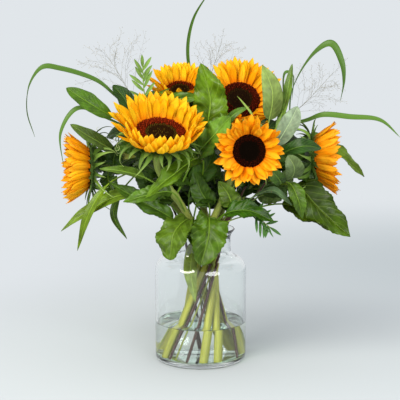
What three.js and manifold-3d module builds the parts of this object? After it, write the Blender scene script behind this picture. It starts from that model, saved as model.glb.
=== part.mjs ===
// Sunflowers in a glass vase: six cut sunflowers, four leafy twigs, two sprays of fine foliage
// and three stems of switch grass, hand-tied in a spiral so that every stem crosses one narrow
// waist in the vase's neck and stands with its foot in water.
//
// Millimetres, +Z up. The origin is the centre of the vase's foot, and -Y faces the viewer.

import * as THREE from 'three';
import { mergeVertices } from 'three/addons/utils/BufferGeometryUtils.js';
import Module from 'manifold-3d';

const wasm = await Module();
wasm.setup();

// ---------------------------------------------------------------------------------------------
// Driving dimensions
// ---------------------------------------------------------------------------------------------

const GAP = 0.3; // clearance that touching pieces keep

const VASE = {
  radius: 75, // outside of the body
  height: 220,
  wall: 3.5,
  floor: 8, // thickness of the base
  footRound: 8, // radius of the rounded edge under the body
  shoulderZ: 152, // where the straight body ends
  shoulderRound: 22,
  neckRadius: 49,
  neckZ: 184, // where the straight neck starts
  lipRadius: 56,
  lipDrop: 13, // height of the flared lip
  segments: 28,
};

const WATER_TOP = 64; // height of the water's surface above the table

const WAIST = { x: 8, z: 165 }; // the bunch's narrowest place, inside the neck

const STEM = { foot: 5.6, neck: 4.2, sides: 7, steps: 10 }; // sunflower stem radii
const TWIG = { foot: 2.3, neck: 1.2, sides: 5, steps: 9 };
const CULM = { foot: 1.4, neck: 0.8, sides: 4, steps: 10 };

const LEAF = { rib: 1.6, stalk: 2.8, ripples: 11 }; // thicknesses, and how often an edge waves
const STRAP = { ends: 0.22, fullness: 0.7 }; // how wide a grass blade is at its ends
const GRASS_RIB = 1.3;
const LEAFLET_RIB = 1;

const NECK_REACH = 62; // how far behind its disc a sunflower's stem turns towards it
const DISC = { sides: 14, floret: 1.2 }; // floret is the height of the relief
const PETAL = {
  rib: 1.3, // thickness along the middle
  width: [0.88, 0.84, 0], // shares of its greatest width from the root to the tip
  root: -0.6, // height of the roots
  innerRow: 15, // degrees that the inner row stands up more
  innerLength: 0.92,
  lift: 0.22, // how much its edges stand up
  twist: 0.16,
};
const BRACT = { count: 12, width: [8.5, 0], rib: 1.3, lift: 0.3, twist: 0.3, straight: 0.75 };
const PANICLE = {
  branches: 17,
  spiral: 137.5, // degrees from one branch to the next
  rachis: [0.8, 0.5], // radii
  branch: 0.4,
  spikelet: { radius: 1, length: 3 },
  from: 0.04, // where the first and the last branch start, along the rachis
  to: 0.82,
};

// ---------------------------------------------------------------------------------------------
// Layout. Points are [x, y, z]; feet are [x, y] on the vase's floor, and a waist is [angle in
// degrees, radius] round the bunch's axis. A leaf starts at a place along its stem, from 0 to 1;
// its rib has the points of the blade's base, middle and tip, and its upper side looks one way.
// ---------------------------------------------------------------------------------------------

const SUNFLOWERS = [
  {
    name: 'front_left', disc: [-61, -95, 383], looks: [0.12, -0.5, 0.86],
    discRadius: 39, petalLength: 42, cup: [30, 56], petals: 26, petalWidth: 15, seed: 1,
    foot: [32, 46], waist: [152, 17], via: [[-20, -22, 240]],
    leaves: [
      { at: 0.43, kind: 'heart', width: 34, wave: 0.1, looks: [-0.3, -0.6, 0.7],
        rib: [[2, -62, 343], [-44, -103, 320], [-86, -98, 284]] },
      { at: 0.6, kind: 'heart', width: 33, wave: 0.16, looks: [-0.5, -0.8, 0.3],
        rib: [[-6, -68, 348], [22, -102, 384], [46, -83, 410]] },
      { at: 0.37, kind: 'heart', width: 50, wave: 0.12, looks: [-0.3, -0.95, 0.3],
        rib: [[-20, -52, 243], [-42, -84, 226], [-48, -92, 184]] },
      { at: 0.3, kind: 'lance', width: 22, wave: 0.06, looks: [-0.2, -1, 0.1],
        rib: [[-12, -24, 200], [-16, -40, 160], [-8, -50, 106]] },
      { at: 0.36, kind: 'heart', width: 32, wave: 0.05, looks: [0.3, -0.7, 0.6],
        rib: [[-44, -34, 240], [-90, -52, 270], [-146, -50, 302]] },
      { at: 0.42, kind: 'heart', width: 38, wave: 0.1, looks: [-0.2, -0.9, 0.4],
        rib: [[-50, -24, 264], [-82, -32, 296], [-108, -36, 332]] },
      { at: 0.6, kind: 'lance', width: 22, wave: 0.05, looks: [0, -0.6, 0.8],
        rib: [[-88, -56, 310], [-124, -66, 322], [-160, -62, 325]] },
      { at: 0.5, kind: 'heart', width: 30, wave: 0.1, looks: [-0.2, -0.8, 0.6],
        rib: [[-46, -64, 288], [-82, -78, 286], [-122, -74, 274]] },
    ],
  },
  {
    name: 'front_right', disc: [74, -115, 359], looks: [0.03, -0.99, 0.08],
    discRadius: 26, petalLength: 29, cup: [14, 28], petals: 20, petalWidth: 15, seed: 2,
    foot: [-32, 46], waist: [212, 17], via: [[20, -38, 240]],
    leaves: [
      { at: 0.36, kind: 'heart', width: 56, wave: 0.1, looks: [0.1, -1, 0.2],
        rib: [[13, -52, 246], [13, -75, 222], [0, -85, 174]] },
      { at: 0.38, kind: 'heart', width: 34, wave: 0.08, looks: [-0.1, -0.6, 0.8],
        rib: [[38, -68, 254], [74, -82, 262], [116, -76, 243]] },
      { at: 0.46, kind: 'heart', width: 32, wave: 0.1, looks: [-0.2, -0.9, 0.3],
        rib: [[48, -60, 264], [44, -68, 284], [28, -66, 306]] },
      { at: 0.42, kind: 'heart', width: 34, wave: 0.1, looks: [-0.1, -0.95, 0.2],
        rib: [[14, -44, 262], [0, -50, 288], [-10, -46, 322]] },
      { at: 0.5, kind: 'heart', width: 32, wave: 0.1, looks: [-0.2, -0.9, 0.4],
        rib: [[56, -52, 300], [72, -62, 318], [98, -64, 320]] },
    ],
  },
  {
    name: 'top_right', disc: [63, -5, 430], looks: [0.06, -0.8, 0.58],
    discRadius: 31, petalLength: 40, cup: [14, 28], petals: 26, petalWidth: 14, seed: 3,
    foot: [4, -54], waist: [340, 17], via: [[34, 10, 250]],
    leaves: [
      { at: 0.55, kind: 'heart', width: 55, wave: 0.14, looks: [0.1, -0.95, -0.2],
        rib: [[12, -51, 388], [15, -54, 434], [0, -47, 490]] },
      { at: 0.5, kind: 'heart', width: 52, wave: 0.12, looks: [0.1, 0.6, 0.8],
        rib: [[70, 60, 350], [84, 92, 380], [92, 118, 360]] },
      { at: 0.5, kind: 'heart', width: 40, wave: 0.1, looks: [-0.1, -0.95, 0.2],
        rib: [[22, -6, 300], [10, -22, 334], [6, -26, 368]] },
    ],
  },
  {
    name: 'top_left', disc: [-34, 55, 441], looks: [0, -0.5, 0.86],
    discRadius: 24, petalLength: 36, cup: [26, 46], petals: 22, petalWidth: 12, seed: 4,
    foot: [26, -50], waist: [40, 17], via: [[4, 30, 250]],
    leaves: [
      { at: 0.5, kind: 'heart', width: 54, wave: 0.12, looks: [-0.2, 0.6, 0.8],
        rib: [[-30, 70, 350], [-52, 104, 366], [-70, 130, 330]] },
      { at: 0.42, kind: 'heart', width: 48, wave: 0.12, looks: [0.1, 0.6, 0.8],
        rib: [[-14, 62, 280], [-16, 92, 292], [-14, 122, 250]] },
      { at: 0.46, kind: 'heart', width: 36, wave: 0.1, looks: [-0.3, -0.9, 0.4],
        rib: [[-38, 14, 290], [-64, 2, 316], [-84, 0, 350]] },
    ],
  },
  {
    name: 'left', disc: [-184, -5, 319], looks: [-0.98, -0.18, 0.02],
    discRadius: 33, petalLength: 38, cup: [52, 70], petals: 26, petalWidth: 14, seed: 5,
    foot: [55, 4], waist: [97, 17], via: [[-30, 8, 240]],
    leaves: [
      { at: 0.4, kind: 'lance', width: 30, wave: 0.06, looks: [-0.1, -0.6, 0.8],
        rib: [[-58, -20, 240], [-122, -40, 280], [-184, -46, 252], [-224, -44, 222]] },
      { at: 0.72, kind: 'lance', width: 16, wave: 0.05, looks: [-0.4, -0.9, 0.1],
        rib: [[-150, -52, 296], [-176, -66, 256], [-196, -66, 194]] },
      { at: 0.7, kind: 'lance', width: 12, wave: 0.05, looks: [0.2, -1, 0],
        rib: [[-132, 0, 276], [-142, -6, 242], [-120, -10, 202]] },
      { at: 0.5, kind: 'heart', width: 52, wave: 0.12, looks: [-0.3, 0.5, 0.8],
        rib: [[-100, 60, 300], [-136, 92, 310], [-170, 110, 276]] },
    ],
  },
  {
    name: 'right', disc: [186, 0, 335], looks: [0.99, -0.06, 0.04],
    discRadius: 33, petalLength: 38, cup: [52, 70], petals: 26, petalWidth: 14, seed: 6,
    foot: [-51, -23], waist: [276, 17], via: [[46, -6, 240]],
    leaves: [
      { at: 0.6, kind: 'heart', width: 66, wave: 0.1, looks: [0.3, -0.85, 0.45],
        rib: [[152, -46, 302], [194, -66, 270], [240, -62, 222]] },
      { at: 0.5, kind: 'heart', width: 40, wave: 0.1, looks: [0.2, -0.7, 0.6],
        rib: [[132, -16, 262], [186, -30, 244], [238, -36, 212]] },
      { at: 0.66, kind: 'heart', width: 46, wave: 0.1, looks: [0.2, -0.5, 0.86],
        rib: [[166, 76, 348], [222, 86, 340], [276, 64, 296]] },
      { at: 0.46, kind: 'heart', width: 38, wave: 0.1, looks: [-0.1, -0.9, 0.4],
        rib: [[92, -14, 272], [124, -30, 288], [150, -36, 326]] },
    ],
  },
];

// Twigs with smooth oval leaves.
const TWIGS = [
  {
    name: 'left', foot: [0, 60], waist: [170, 28],
    path: [[-30, 9, 212], [-66, 22, 290], [-112, -4, 370], [-124, -26, 398]],
    leaves: [
      { at: 0.96, kind: 'oval', width: 32, looks: [0.3, -0.8, 0.5],
        rib: [[-140, -32, 404], [-176, -46, 428], [-212, -42, 451]] },
      { at: 0.9, kind: 'oval', width: 30, looks: [0.5, -0.8, 0.2],
        rib: [[-112, -8, 402], [-122, 2, 430], [-142, 8, 453]] },
      { at: 0.86, kind: 'oval', width: 26, looks: [0.2, -0.7, 0.7],
        rib: [[-134, -28, 352], [-168, -46, 370], [-206, -48, 394]] },
      { at: 0.76, kind: 'oval', width: 24, looks: [0, -0.9, 0.5],
        rib: [[-104, -16, 346], [-118, -20, 346], [-138, -18, 338]] },
    ],
  },
  {
    name: 'upper_right', foot: [-21, -54], waist: [309, 29],
    path: [[36, -22, 212], [92, -46, 340], [106, -50, 392]],
    leaves: [
      { at: 0.98, kind: 'oval', width: 38, looks: [-0.1, -0.95, 0.3],
        rib: [[108, -56, 402], [112, -66, 446], [96, -56, 488]] },
      { at: 0.94, kind: 'oval', width: 30, looks: [0.2, -0.95, 0.3],
        rib: [[116, -70, 366], [136, -86, 396], [150, -82, 425]] },
      { at: 0.9, kind: 'oval', width: 18, looks: [-0.6, -0.7, 0.3],
        rib: [[118, -60, 388], [134, -54, 436], [144, -44, 489]] },
    ],
  },
  {
    name: 'lower_right', foot: [-46, -36], waist: [283, 30],
    path: [[18, -38, 212], [92, -66, 290], [122, -68, 336]],
    leaves: [
      { at: 0.98, kind: 'oval', width: 28, looks: [0, -0.7, 0.7],
        rib: [[128, -76, 350], [158, -92, 364], [188, -80, 360]] },
      { at: 0.92, kind: 'oval', width: 30, looks: [0.1, -1, 0.1],
        rib: [[138, -84, 312], [144, -106, 332], [134, -108, 352]] },
      { at: 0.86, kind: 'oval', width: 22, looks: [-0.2, -1, 0.1],
        rib: [[124, -84, 304], [118, -108, 318], [104, -112, 332]] },
      { at: 0.7, kind: 'oval', width: 16, looks: [0.1, -0.5, 0.85],
        rib: [[80, -84, 282], [112, -98, 296], [142, -96, 272]] },
      { at: 0.84, kind: 'heart', width: 24, wave: 0.1, looks: [0.3, -0.95, 0.2],
        rib: [[138, -92, 306], [150, -108, 284], [158, -100, 252]] },
    ],
  },
  {
    name: 'back', foot: [54, -26], waist: [62, 27],
    path: [[26, 34, 212], [30, 84, 330], [38, 90, 400]],
    leaves: [
      { at: 0.98, kind: 'oval', width: 34, looks: [0.2, 0.95, 0.2],
        rib: [[40, 88, 410], [54, 90, 442], [56, 82, 474]] },
      { at: 0.9, kind: 'oval', width: 30, looks: [0.3, 0.8, 0.5],
        rib: [[30, 104, 380], [62, 124, 396], [92, 126, 420]] },
      { at: 0.8, kind: 'oval', width: 30, looks: [-0.3, 0.8, 0.5],
        rib: [[0, 102, 368], [-30, 124, 394], [-58, 130, 420]] },
    ],
  },
];

// Switch grass: long arching blades on a culm that ends in an open, hair-fine panicle. The
// panicle leans along its axis, and its branches reach as far as spread to every side.
const GRASSES = [
  {
    name: 'left', foot: [20, 54], waist: [140, 28],
    path: [[-22, 26, 212], [-84, 30, 350], [-110, 26, 428]],
    blades: [
      { at: 0.9, width: 11, looks: [0.2, -0.3, 0.9],
        rib: [[-140, 14, 436], [-168, 6, 460], [-226, -8, 480], [-252, -12, 482],
          [-273, -15, 454], [-278, -16, 414], [-267, -15, 371]] },
      { at: 0.8, width: 9, looks: [0.2, -0.6, 0.7],
        rib: [[-150, 4, 398], [-197, -20, 417], [-223, -26, 380], [-220, -26, 322]] },
    ],
    panicle: { axis: [-0.5, 0, 0.86], reach: 96, spread: 58, seed: 11 },
  },
  {
    name: 'middle', foot: [56, 18], waist: [85, 29],
    path: [[8, 40, 212], [4, 96, 370], [6, 104, 440]],
    blades: [
      { at: 0.9, width: 8, looks: [0.3, -0.9, 0.1],
        rib: [[-16, 116, 462], [-22, 110, 510], [-12, 100, 560], [16, 88, 606]] },
    ],
    panicle: { axis: [0.35, 0, 0.93], reach: 88, spread: 54, seed: 12 },
  },
  {
    name: 'right', foot: [-38, -44], waist: [296, 30],
    path: [[29, -31, 212], [68, -20, 300], [132, 20, 374], [152, 34, 404]],
    blades: [
      { at: 0.93, width: 11, looks: [-0.6, -0.4, 0.7],
        rib: [[150, 4, 450], [184, -22, 508], [206, -30, 520],
          [222, -34, 492], [226, -34, 462], [222, -32, 430]] },
      { at: 0.88, width: 11, looks: [0, -0.75, 0.66],
        rib: [[172, -6, 397], [196, -24, 407], [238, -30, 404],
          [286, -32, 399], [318, -36, 372]] },
      { at: 0.9, width: 10, looks: [-0.9, -0.3, 0.3],
        rib: [[136, 24, 438], [139, 24, 472], [149, 22, 470], [149, 18, 428]] },
    ],
    panicle: { axis: [0.6, 0.25, 0.76], reach: 96, spread: 54, seed: 13 },
  },
];

// Fine compound foliage: narrow leaflets in pairs on a thin rachis.
const SPRAYS = [
  {
    name: 'lower_right', foot: [-54, 14], waist: [250, 29],
    path: [[6, -41, 212], [42, -60, 240], [84, -66, 250], [110, -66, 232]],
    leaflets: 9, leaflet: { length: 27, width: 5.5 }, looks: [0, -0.95, 0.3], from: 0.8,
  },
  {
    name: 'upper_left', foot: [8, 55], waist: [120, 29],
    path: [[-8, 40, 212], [-72, 44, 360], [-92, 24, 440], [-94, 16, 482]],
    leaflets: 11, leaflet: { length: 30, width: 5 }, looks: [0, -1, 0.1], from: 0.76,
  },
];

const COLOURS = {
  glass: 0xdfeeea, water: 0xd3e2cf, stem: 0x86a03e, petal: 0xffa90f, disc: 0x2a1410,
  twig: 0x3f6f35, grass: 0x4f7f2a, panicle: 0x9a958f, spray: 0x4a7a33,
};

// ---------------------------------------------------------------------------------------------
// Solids
// ---------------------------------------------------------------------------------------------

const vector = ([x, y, z]) => new THREE.Vector3(x, y, z);
const direction = (xyz) => vector(xyz).normalize();
const curveThrough = (points) => new THREE.CatmullRomCurve3(points);
const range = (count) => Array.from({ length: count }, (_, i) => i);

// A number from -1 to 1 that is always the same for the same index and seed.
function jitter(index, seed) {
  const wave = Math.sin(index * 12.9898 + seed * 78.233) * 43758.5453;
  return 2 * (wave - Math.floor(wave)) - 1;
}

// A closed solid from any closed three.js geometry.
function solidOf(geometry) {
  const bare = new THREE.BufferGeometry();
  bare.setAttribute('position', geometry.getAttribute('position').clone());
  bare.setIndex(geometry.getIndex());
  const merged = mergeVertices(bare, 1e-4);
  const corners = Array.from(merged.getIndex().array);
  const kept = range(corners.length / 3)
    .map((i) => corners.slice(3 * i, 3 * i + 3))
    .filter(([a, b, c]) => a !== b && b !== c && c !== a)
    .flat();
  return new wasm.Manifold(new wasm.Mesh({
    numProp: 3,
    vertProperties: new Float32Array(merged.getAttribute('position').array),
    triVerts: new Uint32Array(kept),
  }));
}

function geometryOf(solid) {
  const mesh = solid.getMesh();
  const geometry = new THREE.BufferGeometry();
  geometry.setAttribute('position', new THREE.BufferAttribute(new Float32Array(mesh.vertProperties), 3));
  geometry.setIndex(new THREE.BufferAttribute(new Uint32Array(mesh.triVerts), 1));
  return geometry;
}

// Joins solids into one body, and drops any scrap that the joining leaves loose.
function fuse(geometries) {
  const joined = geometries.map(solidOf).reduce((whole, piece) => whole.add(piece));
  return joined.decompose().reduce((largest, body) => (body.volume() > largest.volume() ? body : largest));
}

// The triangles between rings of points. A blade's ring is left edge, rib, right edge and rib,
// and the quads of its second half are split so that both of its faces have the same folds.
function skin(rings) {
  return rings.slice(1).flatMap((next, i) => rings[i].flatMap((a, j) => {
    const k = (j + 1) % next.length;
    const [b, c, d] = [rings[i][k], next[k], next[j]];
    return j < next.length / 2 ? [a, b, c, a, c, d] : [a, b, d, b, c, d];
  }));
}

const startCap = (ring) => ring.slice(2).flatMap((corner, j) => [ring[0], corner, ring[j + 1]]);
const endCap = (ring) => ring.slice(2).flatMap((corner, j) => [ring[0], ring[j + 1], corner]);

// A closed geometry over rings of points.
function loft(rings) {
  const triangles = [...startCap(rings[0]), ...skin(rings), ...endCap(rings[rings.length - 1])];
  return new THREE.BufferGeometry().setFromPoints(triangles);
}

// Round rings about points, each square to the way along, turning no more than that way does.
function roundRings(centres, ways, radii, sides) {
  const upright = Math.abs(ways[0].z) > 0.9;
  let across = upright ? new THREE.Vector3(1, 0, 0) : new THREE.Vector3(0, 0, 1);
  return centres.map((centre, i) => {
    across = across.clone().addScaledVector(ways[i], -across.dot(ways[i])).normalize();
    const up = new THREE.Vector3().crossVectors(ways[i], across);
    return range(sides).map((j) => {
      const turn = (2 * Math.PI * j) / sides;
      return centre.clone()
        .addScaledVector(across, radii[i] * Math.cos(turn))
        .addScaledVector(up, radii[i] * Math.sin(turn));
    });
  });
}

// The way across a blade whose upper side looks one way, at a place along its curve.
function sidewaysAt(curve, place, looks) {
  return new THREE.Vector3().crossVectors(curve.getTangent(place), direction(looks)).normalize();
}

// A blade's four corners at one place: left edge, rib, right edge and rib underneath. It lies
// sideways as nearly as its way along lets it, and its edges stand higher than the rib by lift
// times the half width.
function section(centre, along, sideways, halfWidth, halfRib, lift = [0, 0]) {
  const across = sideways.clone().addScaledVector(along, -along.dot(sideways)).normalize();
  const normal = new THREE.Vector3().crossVectors(across, along);
  const corner = (sideways, up) => centre.clone()
    .addScaledVector(across, sideways * halfWidth).addScaledVector(normal, up);
  return [
    corner(-1, lift[0] * halfWidth), corner(0, halfRib),
    corner(1, lift[1] * halfWidth), corner(0, -halfRib),
  ];
}

// A body of revolution about Z from [radius, height] points.
function lathe(profile, segments) {
  const outline = profile.map(([r, z]) => new THREE.Vector2(r, z));
  return new THREE.LatheGeometry(outline, segments).rotateX(Math.PI / 2);
}

// Points of an arc from one angle to another, in degrees, both ends included.
function arc(centreR, centreZ, radius, from, to, steps) {
  return range(steps + 1).map((i) => {
    const turn = THREE.MathUtils.degToRad(THREE.MathUtils.lerp(from, to, i / steps));
    return [centreR + radius * Math.cos(turn), centreZ + radius * Math.sin(turn)];
  });
}

// ---------------------------------------------------------------------------------------------
// Stems
// ---------------------------------------------------------------------------------------------

const STEM_FOOT_Z = VASE.floor + GAP;

// The line of a stem: from its cut foot through the waist and on.
function stemLine({ foot, waist: [angle, radius] }, beyond) {
  const turn = THREE.MathUtils.degToRad(angle);
  const waist = new THREE.Vector3(WAIST.x + radius * Math.cos(turn), radius * Math.sin(turn), WAIST.z);
  return curveThrough([vector([...foot, STEM_FOOT_Z]), waist, ...beyond]);
}

// A stem's rod, with its foot cut level; grown by extra it is the hole that the stem stands in.
function stemRod(line, { foot, neck, sides, steps }, extra = 0) {
  const places = range(steps + 1).map((i) => i / steps);
  const ways = places.map((s) => line.getTangent(s));
  const radii = places.map((s) => THREE.MathUtils.lerp(foot, neck, s) + extra);
  const rings = roundRings(places.map((s) => line.getPoint(s)), ways, radii, sides);
  rings[0].forEach((corner) => corner.setZ(STEM_FOOT_Z).addScaledVector(ways[0], -2 * extra));
  return loft(rings);
}

// ---------------------------------------------------------------------------------------------
// Leaves
// ---------------------------------------------------------------------------------------------

// Half width along a blade as s^rise (1 - s)^fall; fold is how far its edges stand up.
const LEAF_KINDS = {
  heart: { rise: 0.5, fall: 0.85, teeth: 0.07, stations: 6, fold: 0.28 },
  oval: { rise: 0.65, fall: 0.7, teeth: 0, stations: 5, fold: 0.2 },
  lance: { rise: 0.6, fall: 0.9, teeth: 0, stations: 6, fold: 0.25 },
};

// Width of a leaf's blade at s, from 0 to 1 of its greatest.
function spread({ rise, fall, teeth }, s, i) {
  if (s >= 1) return 0;
  const widest = rise / (rise + fall);
  const peak = widest ** rise * (1 - widest) ** fall;
  return ((s ** rise * (1 - s) ** fall) / peak) * (1 + (i % 2 ? teeth : -teeth));
}

// A leaf as one solid: its stalk, from inside the stem, and its blade.
function leafOn(line, { at, rib, looks, kind, width, wave = 0 }) {
  const form = LEAF_KINDS[kind];
  const curve = curveThrough([line.getPoint(at), ...rib.map(vector)]);
  const bladeStart = 1 / rib.length;
  const sideways = sidewaysAt(curve, (1 + bladeStart) / 2, looks);
  const place = (t, halfWidth, halfRib, lift) => section(
    curve.getPoint(t), curve.getTangent(t), sideways, halfWidth, halfRib, lift,
  );
  const stalk = [0, 0.5].map((s) => place(s * bladeStart, LEAF.stalk / 2, LEAF.stalk / 2));
  const blade = range(form.stations + 1).map((i) => {
    const s = i / form.stations;
    const lift = [-1, 1].map((side) => form.fold + wave * Math.sin(s * LEAF.ripples + side * 1.3));
    const tip = i === form.stations;
    const halfWidth = tip ? 0 : Math.max((width / 2) * spread(form, s, i), 1);
    return place(bladeStart + s * (1 - bladeStart), halfWidth, tip ? 0 : LEAF.rib / 2, lift);
  });
  return loft([...stalk, ...blade]);
}

// ---------------------------------------------------------------------------------------------
// Sunflower head, in its own frame: the disc looks along +Z and the petals' roots lie at z = 0
// ---------------------------------------------------------------------------------------------

const RING = { gap: 0.5, width: 3.4, bottom: -2.6, top: 0.4 }; // what carries the petals
const RECEPTACLE = { top: RING.bottom - GAP, depth: 17, flare: 4, rim: -6 };

function headMatrix({ disc, looks }) {
  const turn = new THREE.Quaternion().setFromUnitVectors(new THREE.Vector3(0, 0, 1), direction(looks));
  return new THREE.Matrix4().compose(vector(disc), turn, new THREE.Vector3(1, 1, 1));
}

function polar(radius, turn, height) {
  return new THREE.Vector3(radius * Math.cos(turn), radius * Math.sin(turn), height);
}

// A closed crown of blades. Their roots stand side by side round a body, each sharing its edges
// with its neighbours' roots, and the body's outline runs from the roots over the top and back
// to them from below.
function crown({ blades, radius, height, outline }) {
  const sector = (2 * Math.PI) / blades.length;
  const joint = (k) => polar(radius, sector * (k % blades.length), height);
  const inner = (k) => outline.map(([r, z]) => polar(r, sector * (k % blades.length), z));
  const triangles = blades.flatMap((shape, k) => {
    const turn = sector * (k + 0.5);
    const [top, bottom] = [1, -1].map((side) => polar(radius, turn, height + (side * shape.rib) / 2));
    const [right, left] = [joint(k), joint(k + 1)];
    const [here, next] = [inner(k), inner(k + 1)];
    const body = here.slice(1).flatMap((corner, i) => [
      here[i], next[i], next[i + 1], here[i], next[i + 1], corner,
    ]);
    const [p, q, end] = [here[0], next[0], here.length - 1];
    return [
      p, right, top, p, top, q, q, top, left, ...body,
      here[end], bottom, right, here[end], next[end], bottom, next[end], left, bottom,
      ...skin([[left, top, right, bottom], ...raySections(shape, turn, radius, height)]),
    ];
  });
  return new THREE.BufferGeometry().setFromPoints(triangles);
}

// The sections of a crown's blade beyond its root. It leaves the head at the first angle of rise
// and ends at the second, and is as wide at each place as its widths say.
function raySections({ length, rise, widths, twist, rib, lift }, turn, radius, height) {
  const out = polar(1, turn, 0);
  const round = polar(1, turn - Math.PI / 2, 0);
  const centre = polar(radius, turn, height);
  const step = length / widths.length;
  return widths.map((width, i) => {
    const s = (i + 0.5) / widths.length;
    const angle = THREE.MathUtils.degToRad(THREE.MathUtils.lerp(rise[0], rise[1], s));
    const along = out.clone().multiplyScalar(Math.cos(angle)).setZ(Math.sin(angle));
    const sideways = round.clone().setZ(twist * s);
    centre.addScaledVector(along, step);
    const tip = i === widths.length - 1;
    return section(centre, along, sideways, width / 2, tip ? 0 : rib / 2, [lift, lift]);
  });
}

// Two rows of petals that take turns round one ring, the inner row standing up more.
function petalCrown({ discRadius, petalLength, petalWidth, cup, petals, seed }) {
  const inner = discRadius + RING.gap;
  const blades = range(petals).map((k) => {
    const upright = k % 2 ? PETAL.innerRow : 0;
    const width = petalWidth * (1 + 0.08 * jitter(k, seed + 10));
    return {
      length: petalLength * (1 + 0.1 * jitter(k, seed + 20)) * (k % 2 ? PETAL.innerLength : 1),
      rise: [cup[0] + upright + 3 * jitter(k, seed + 40), cup[1] + upright + 6 * jitter(k, seed + 60)],
      widths: PETAL.width.map((share) => share * width),
      twist: PETAL.twist * jitter(k, seed + 80),
      rib: PETAL.rib,
      lift: PETAL.lift,
    };
  });
  const outline = [[inner, RING.top], [inner, RING.bottom]];
  return solidOf(crown({ blades, radius: inner + RING.width, height: PETAL.root, outline }));
}

// The disc: a raised outer band of open florets round a lower dome of closed ones, in relief.
function seedDisc({ discRadius }) {
  const dome = [[1, 1.4], [0.9, 3.6], [0.76, 4], [0.6, 2.8], [0.42, 2.6], [0.22, 3], [0, 3]];
  const face = dome.map(([share, z]) => [share * discRadius, z]);
  const profile = [[0, RING.bottom], [discRadius, RING.bottom], ...face];
  const geometry = lathe(profile, DISC.sides);
  const position = geometry.getAttribute('position');
  range(position.count).forEach((i) => {
    const along = i % profile.length;
    const round = Math.floor(i / profile.length);
    const floret = along > 2 && along < profile.length - 1 && (along + round) % 2 === 0;
    if (floret) position.setZ(i, position.getZ(i) + DISC.floret);
  });
  return solidOf(geometry);
}

// The green back of the head: the receptacle and its pointed bracts, in two rows that take
// turns, one lying behind the petals and one curling away.
function greenBack({ discRadius, cup, seed }) {
  const rim = discRadius + RECEPTACLE.flare;
  const behindPetals = [cup[0] * 0.5 - 8, cup[0] * 0.4 - 18];
  const blades = range(BRACT.count).map((k) => {
    const curling = k % 2;
    return {
      length: discRadius * (curling ? 1 : BRACT.straight) * (1 + 0.15 * jitter(k, seed + 120)),
      rise: curling ? [-12, -66 + 14 * jitter(k, seed + 140)] : behindPetals,
      widths: BRACT.width,
      twist: BRACT.twist * jitter(k, seed + 160),
      rib: BRACT.rib,
      lift: BRACT.lift,
    };
  });
  const outline = [
    [0, RECEPTACLE.top], [0, -RECEPTACLE.depth - 4],
    [STEM.neck + 1, -RECEPTACLE.depth - 4], [discRadius * 0.7, -RECEPTACLE.depth + 4],
  ];
  return crown({ blades, radius: rim, height: RECEPTACLE.rim, outline });
}

// ---------------------------------------------------------------------------------------------
// Grass panicles and compound leaves
// ---------------------------------------------------------------------------------------------

// An open panicle: fine branches spiral up a rachis, each ending in a small spikelet.
function panicle(base, { axis, reach, spread: width, seed }) {
  const up = direction(axis);
  const side = new THREE.Vector3(0, 1, 0).cross(up).normalize();
  const fore = new THREE.Vector3().crossVectors(up, side);
  const root = base.clone().addScaledVector(up, 2 * GAP);
  const { branch, spikelet } = PANICLE;
  const branches = range(PANICLE.branches).map((i) => {
    const start = THREE.MathUtils.lerp(PANICLE.from, PANICLE.to, i / PANICLE.branches);
    const turn = THREE.MathUtils.degToRad(i * PANICLE.spiral);
    const out = side.clone().multiplyScalar(Math.cos(turn)).addScaledVector(fore, Math.sin(turn));
    const length = width * (1.1 - 0.6 * start) * (1 + 0.3 * jitter(i, seed));
    const climb = length * (0.8 + 0.3 * jitter(i, seed + 5));
    const from = root.clone().addScaledVector(up, reach * start);
    const bend = from.clone().addScaledVector(out, length * 0.42).addScaledVector(up, length * 0.5);
    const tip = from.clone().addScaledVector(out, length).addScaledVector(up, climb);
    const along = tip.clone().sub(bend).normalize();
    const end = tip.clone().addScaledVector(along, spikelet.length);
    const ways = [bend.clone().sub(from).normalize(), along, along, along];
    return loft(roundRings([from, bend, tip, end], ways, [branch, branch, spikelet.radius, 0], 3));
  });
  const top = root.clone().addScaledVector(up, reach);
  return fuse([loft(roundRings([root, top], [up, up], PANICLE.rachis, 4)), ...branches]);
}

// A narrow leaf that tapers at both ends, wide as a share of its width at each station.
function strap(curve, looks, width, halfRib, stations, lift) {
  const sideways = sidewaysAt(curve, 0.5, looks);
  return loft(range(stations + 1).map((i) => {
    const s = i / stations;
    const tip = i === stations;
    const share = STRAP.ends + (1 - STRAP.ends) * Math.sin(Math.PI * s) ** STRAP.fullness;
    const [halfWidth, thick] = tip ? [0, 0] : [(width / 2) * share, halfRib];
    return section(curve.getPoint(s), curve.getTangent(s), sideways, halfWidth, thick, [lift, lift]);
  }));
}

function grassBlade(line, { at, width, looks, rib }) {
  const curve = curveThrough([line.getPoint(at), ...rib.map(vector)]);
  return strap(curve, looks, width, GRASS_RIB / 2, 1 + rib.length * 2, 0.25);
}

function sprayLeaflets(line, { leaflets, leaflet, looks, from }) {
  const facing = direction(looks);
  return range(leaflets).map((i) => {
    const place = i / (leaflets - 1);
    const t = THREE.MathUtils.lerp(from, 0.995, place);
    const root = line.getPoint(t);
    const along = line.getTangent(t);
    const sideways = new THREE.Vector3().crossVectors(along, facing).setLength(i % 2 ? 0.75 : -0.75);
    const heading = place === 1 ? along : sideways.addScaledVector(along, 0.7).normalize();
    const length = leaflet.length * (1 - 0.3 * place);
    const points = [0, 0.5, 1].map((s) => root.clone()
      .addScaledVector(heading, s * length).addScaledVector(facing, s * (1 - s) * 6));
    return strap(curveThrough(points), looks, leaflet.width, LEAFLET_RIB / 2, 2, 0.1);
  });
}

// ---------------------------------------------------------------------------------------------
// Vase and water
// ---------------------------------------------------------------------------------------------

const INNER_RADIUS = VASE.radius - VASE.wall;

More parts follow.
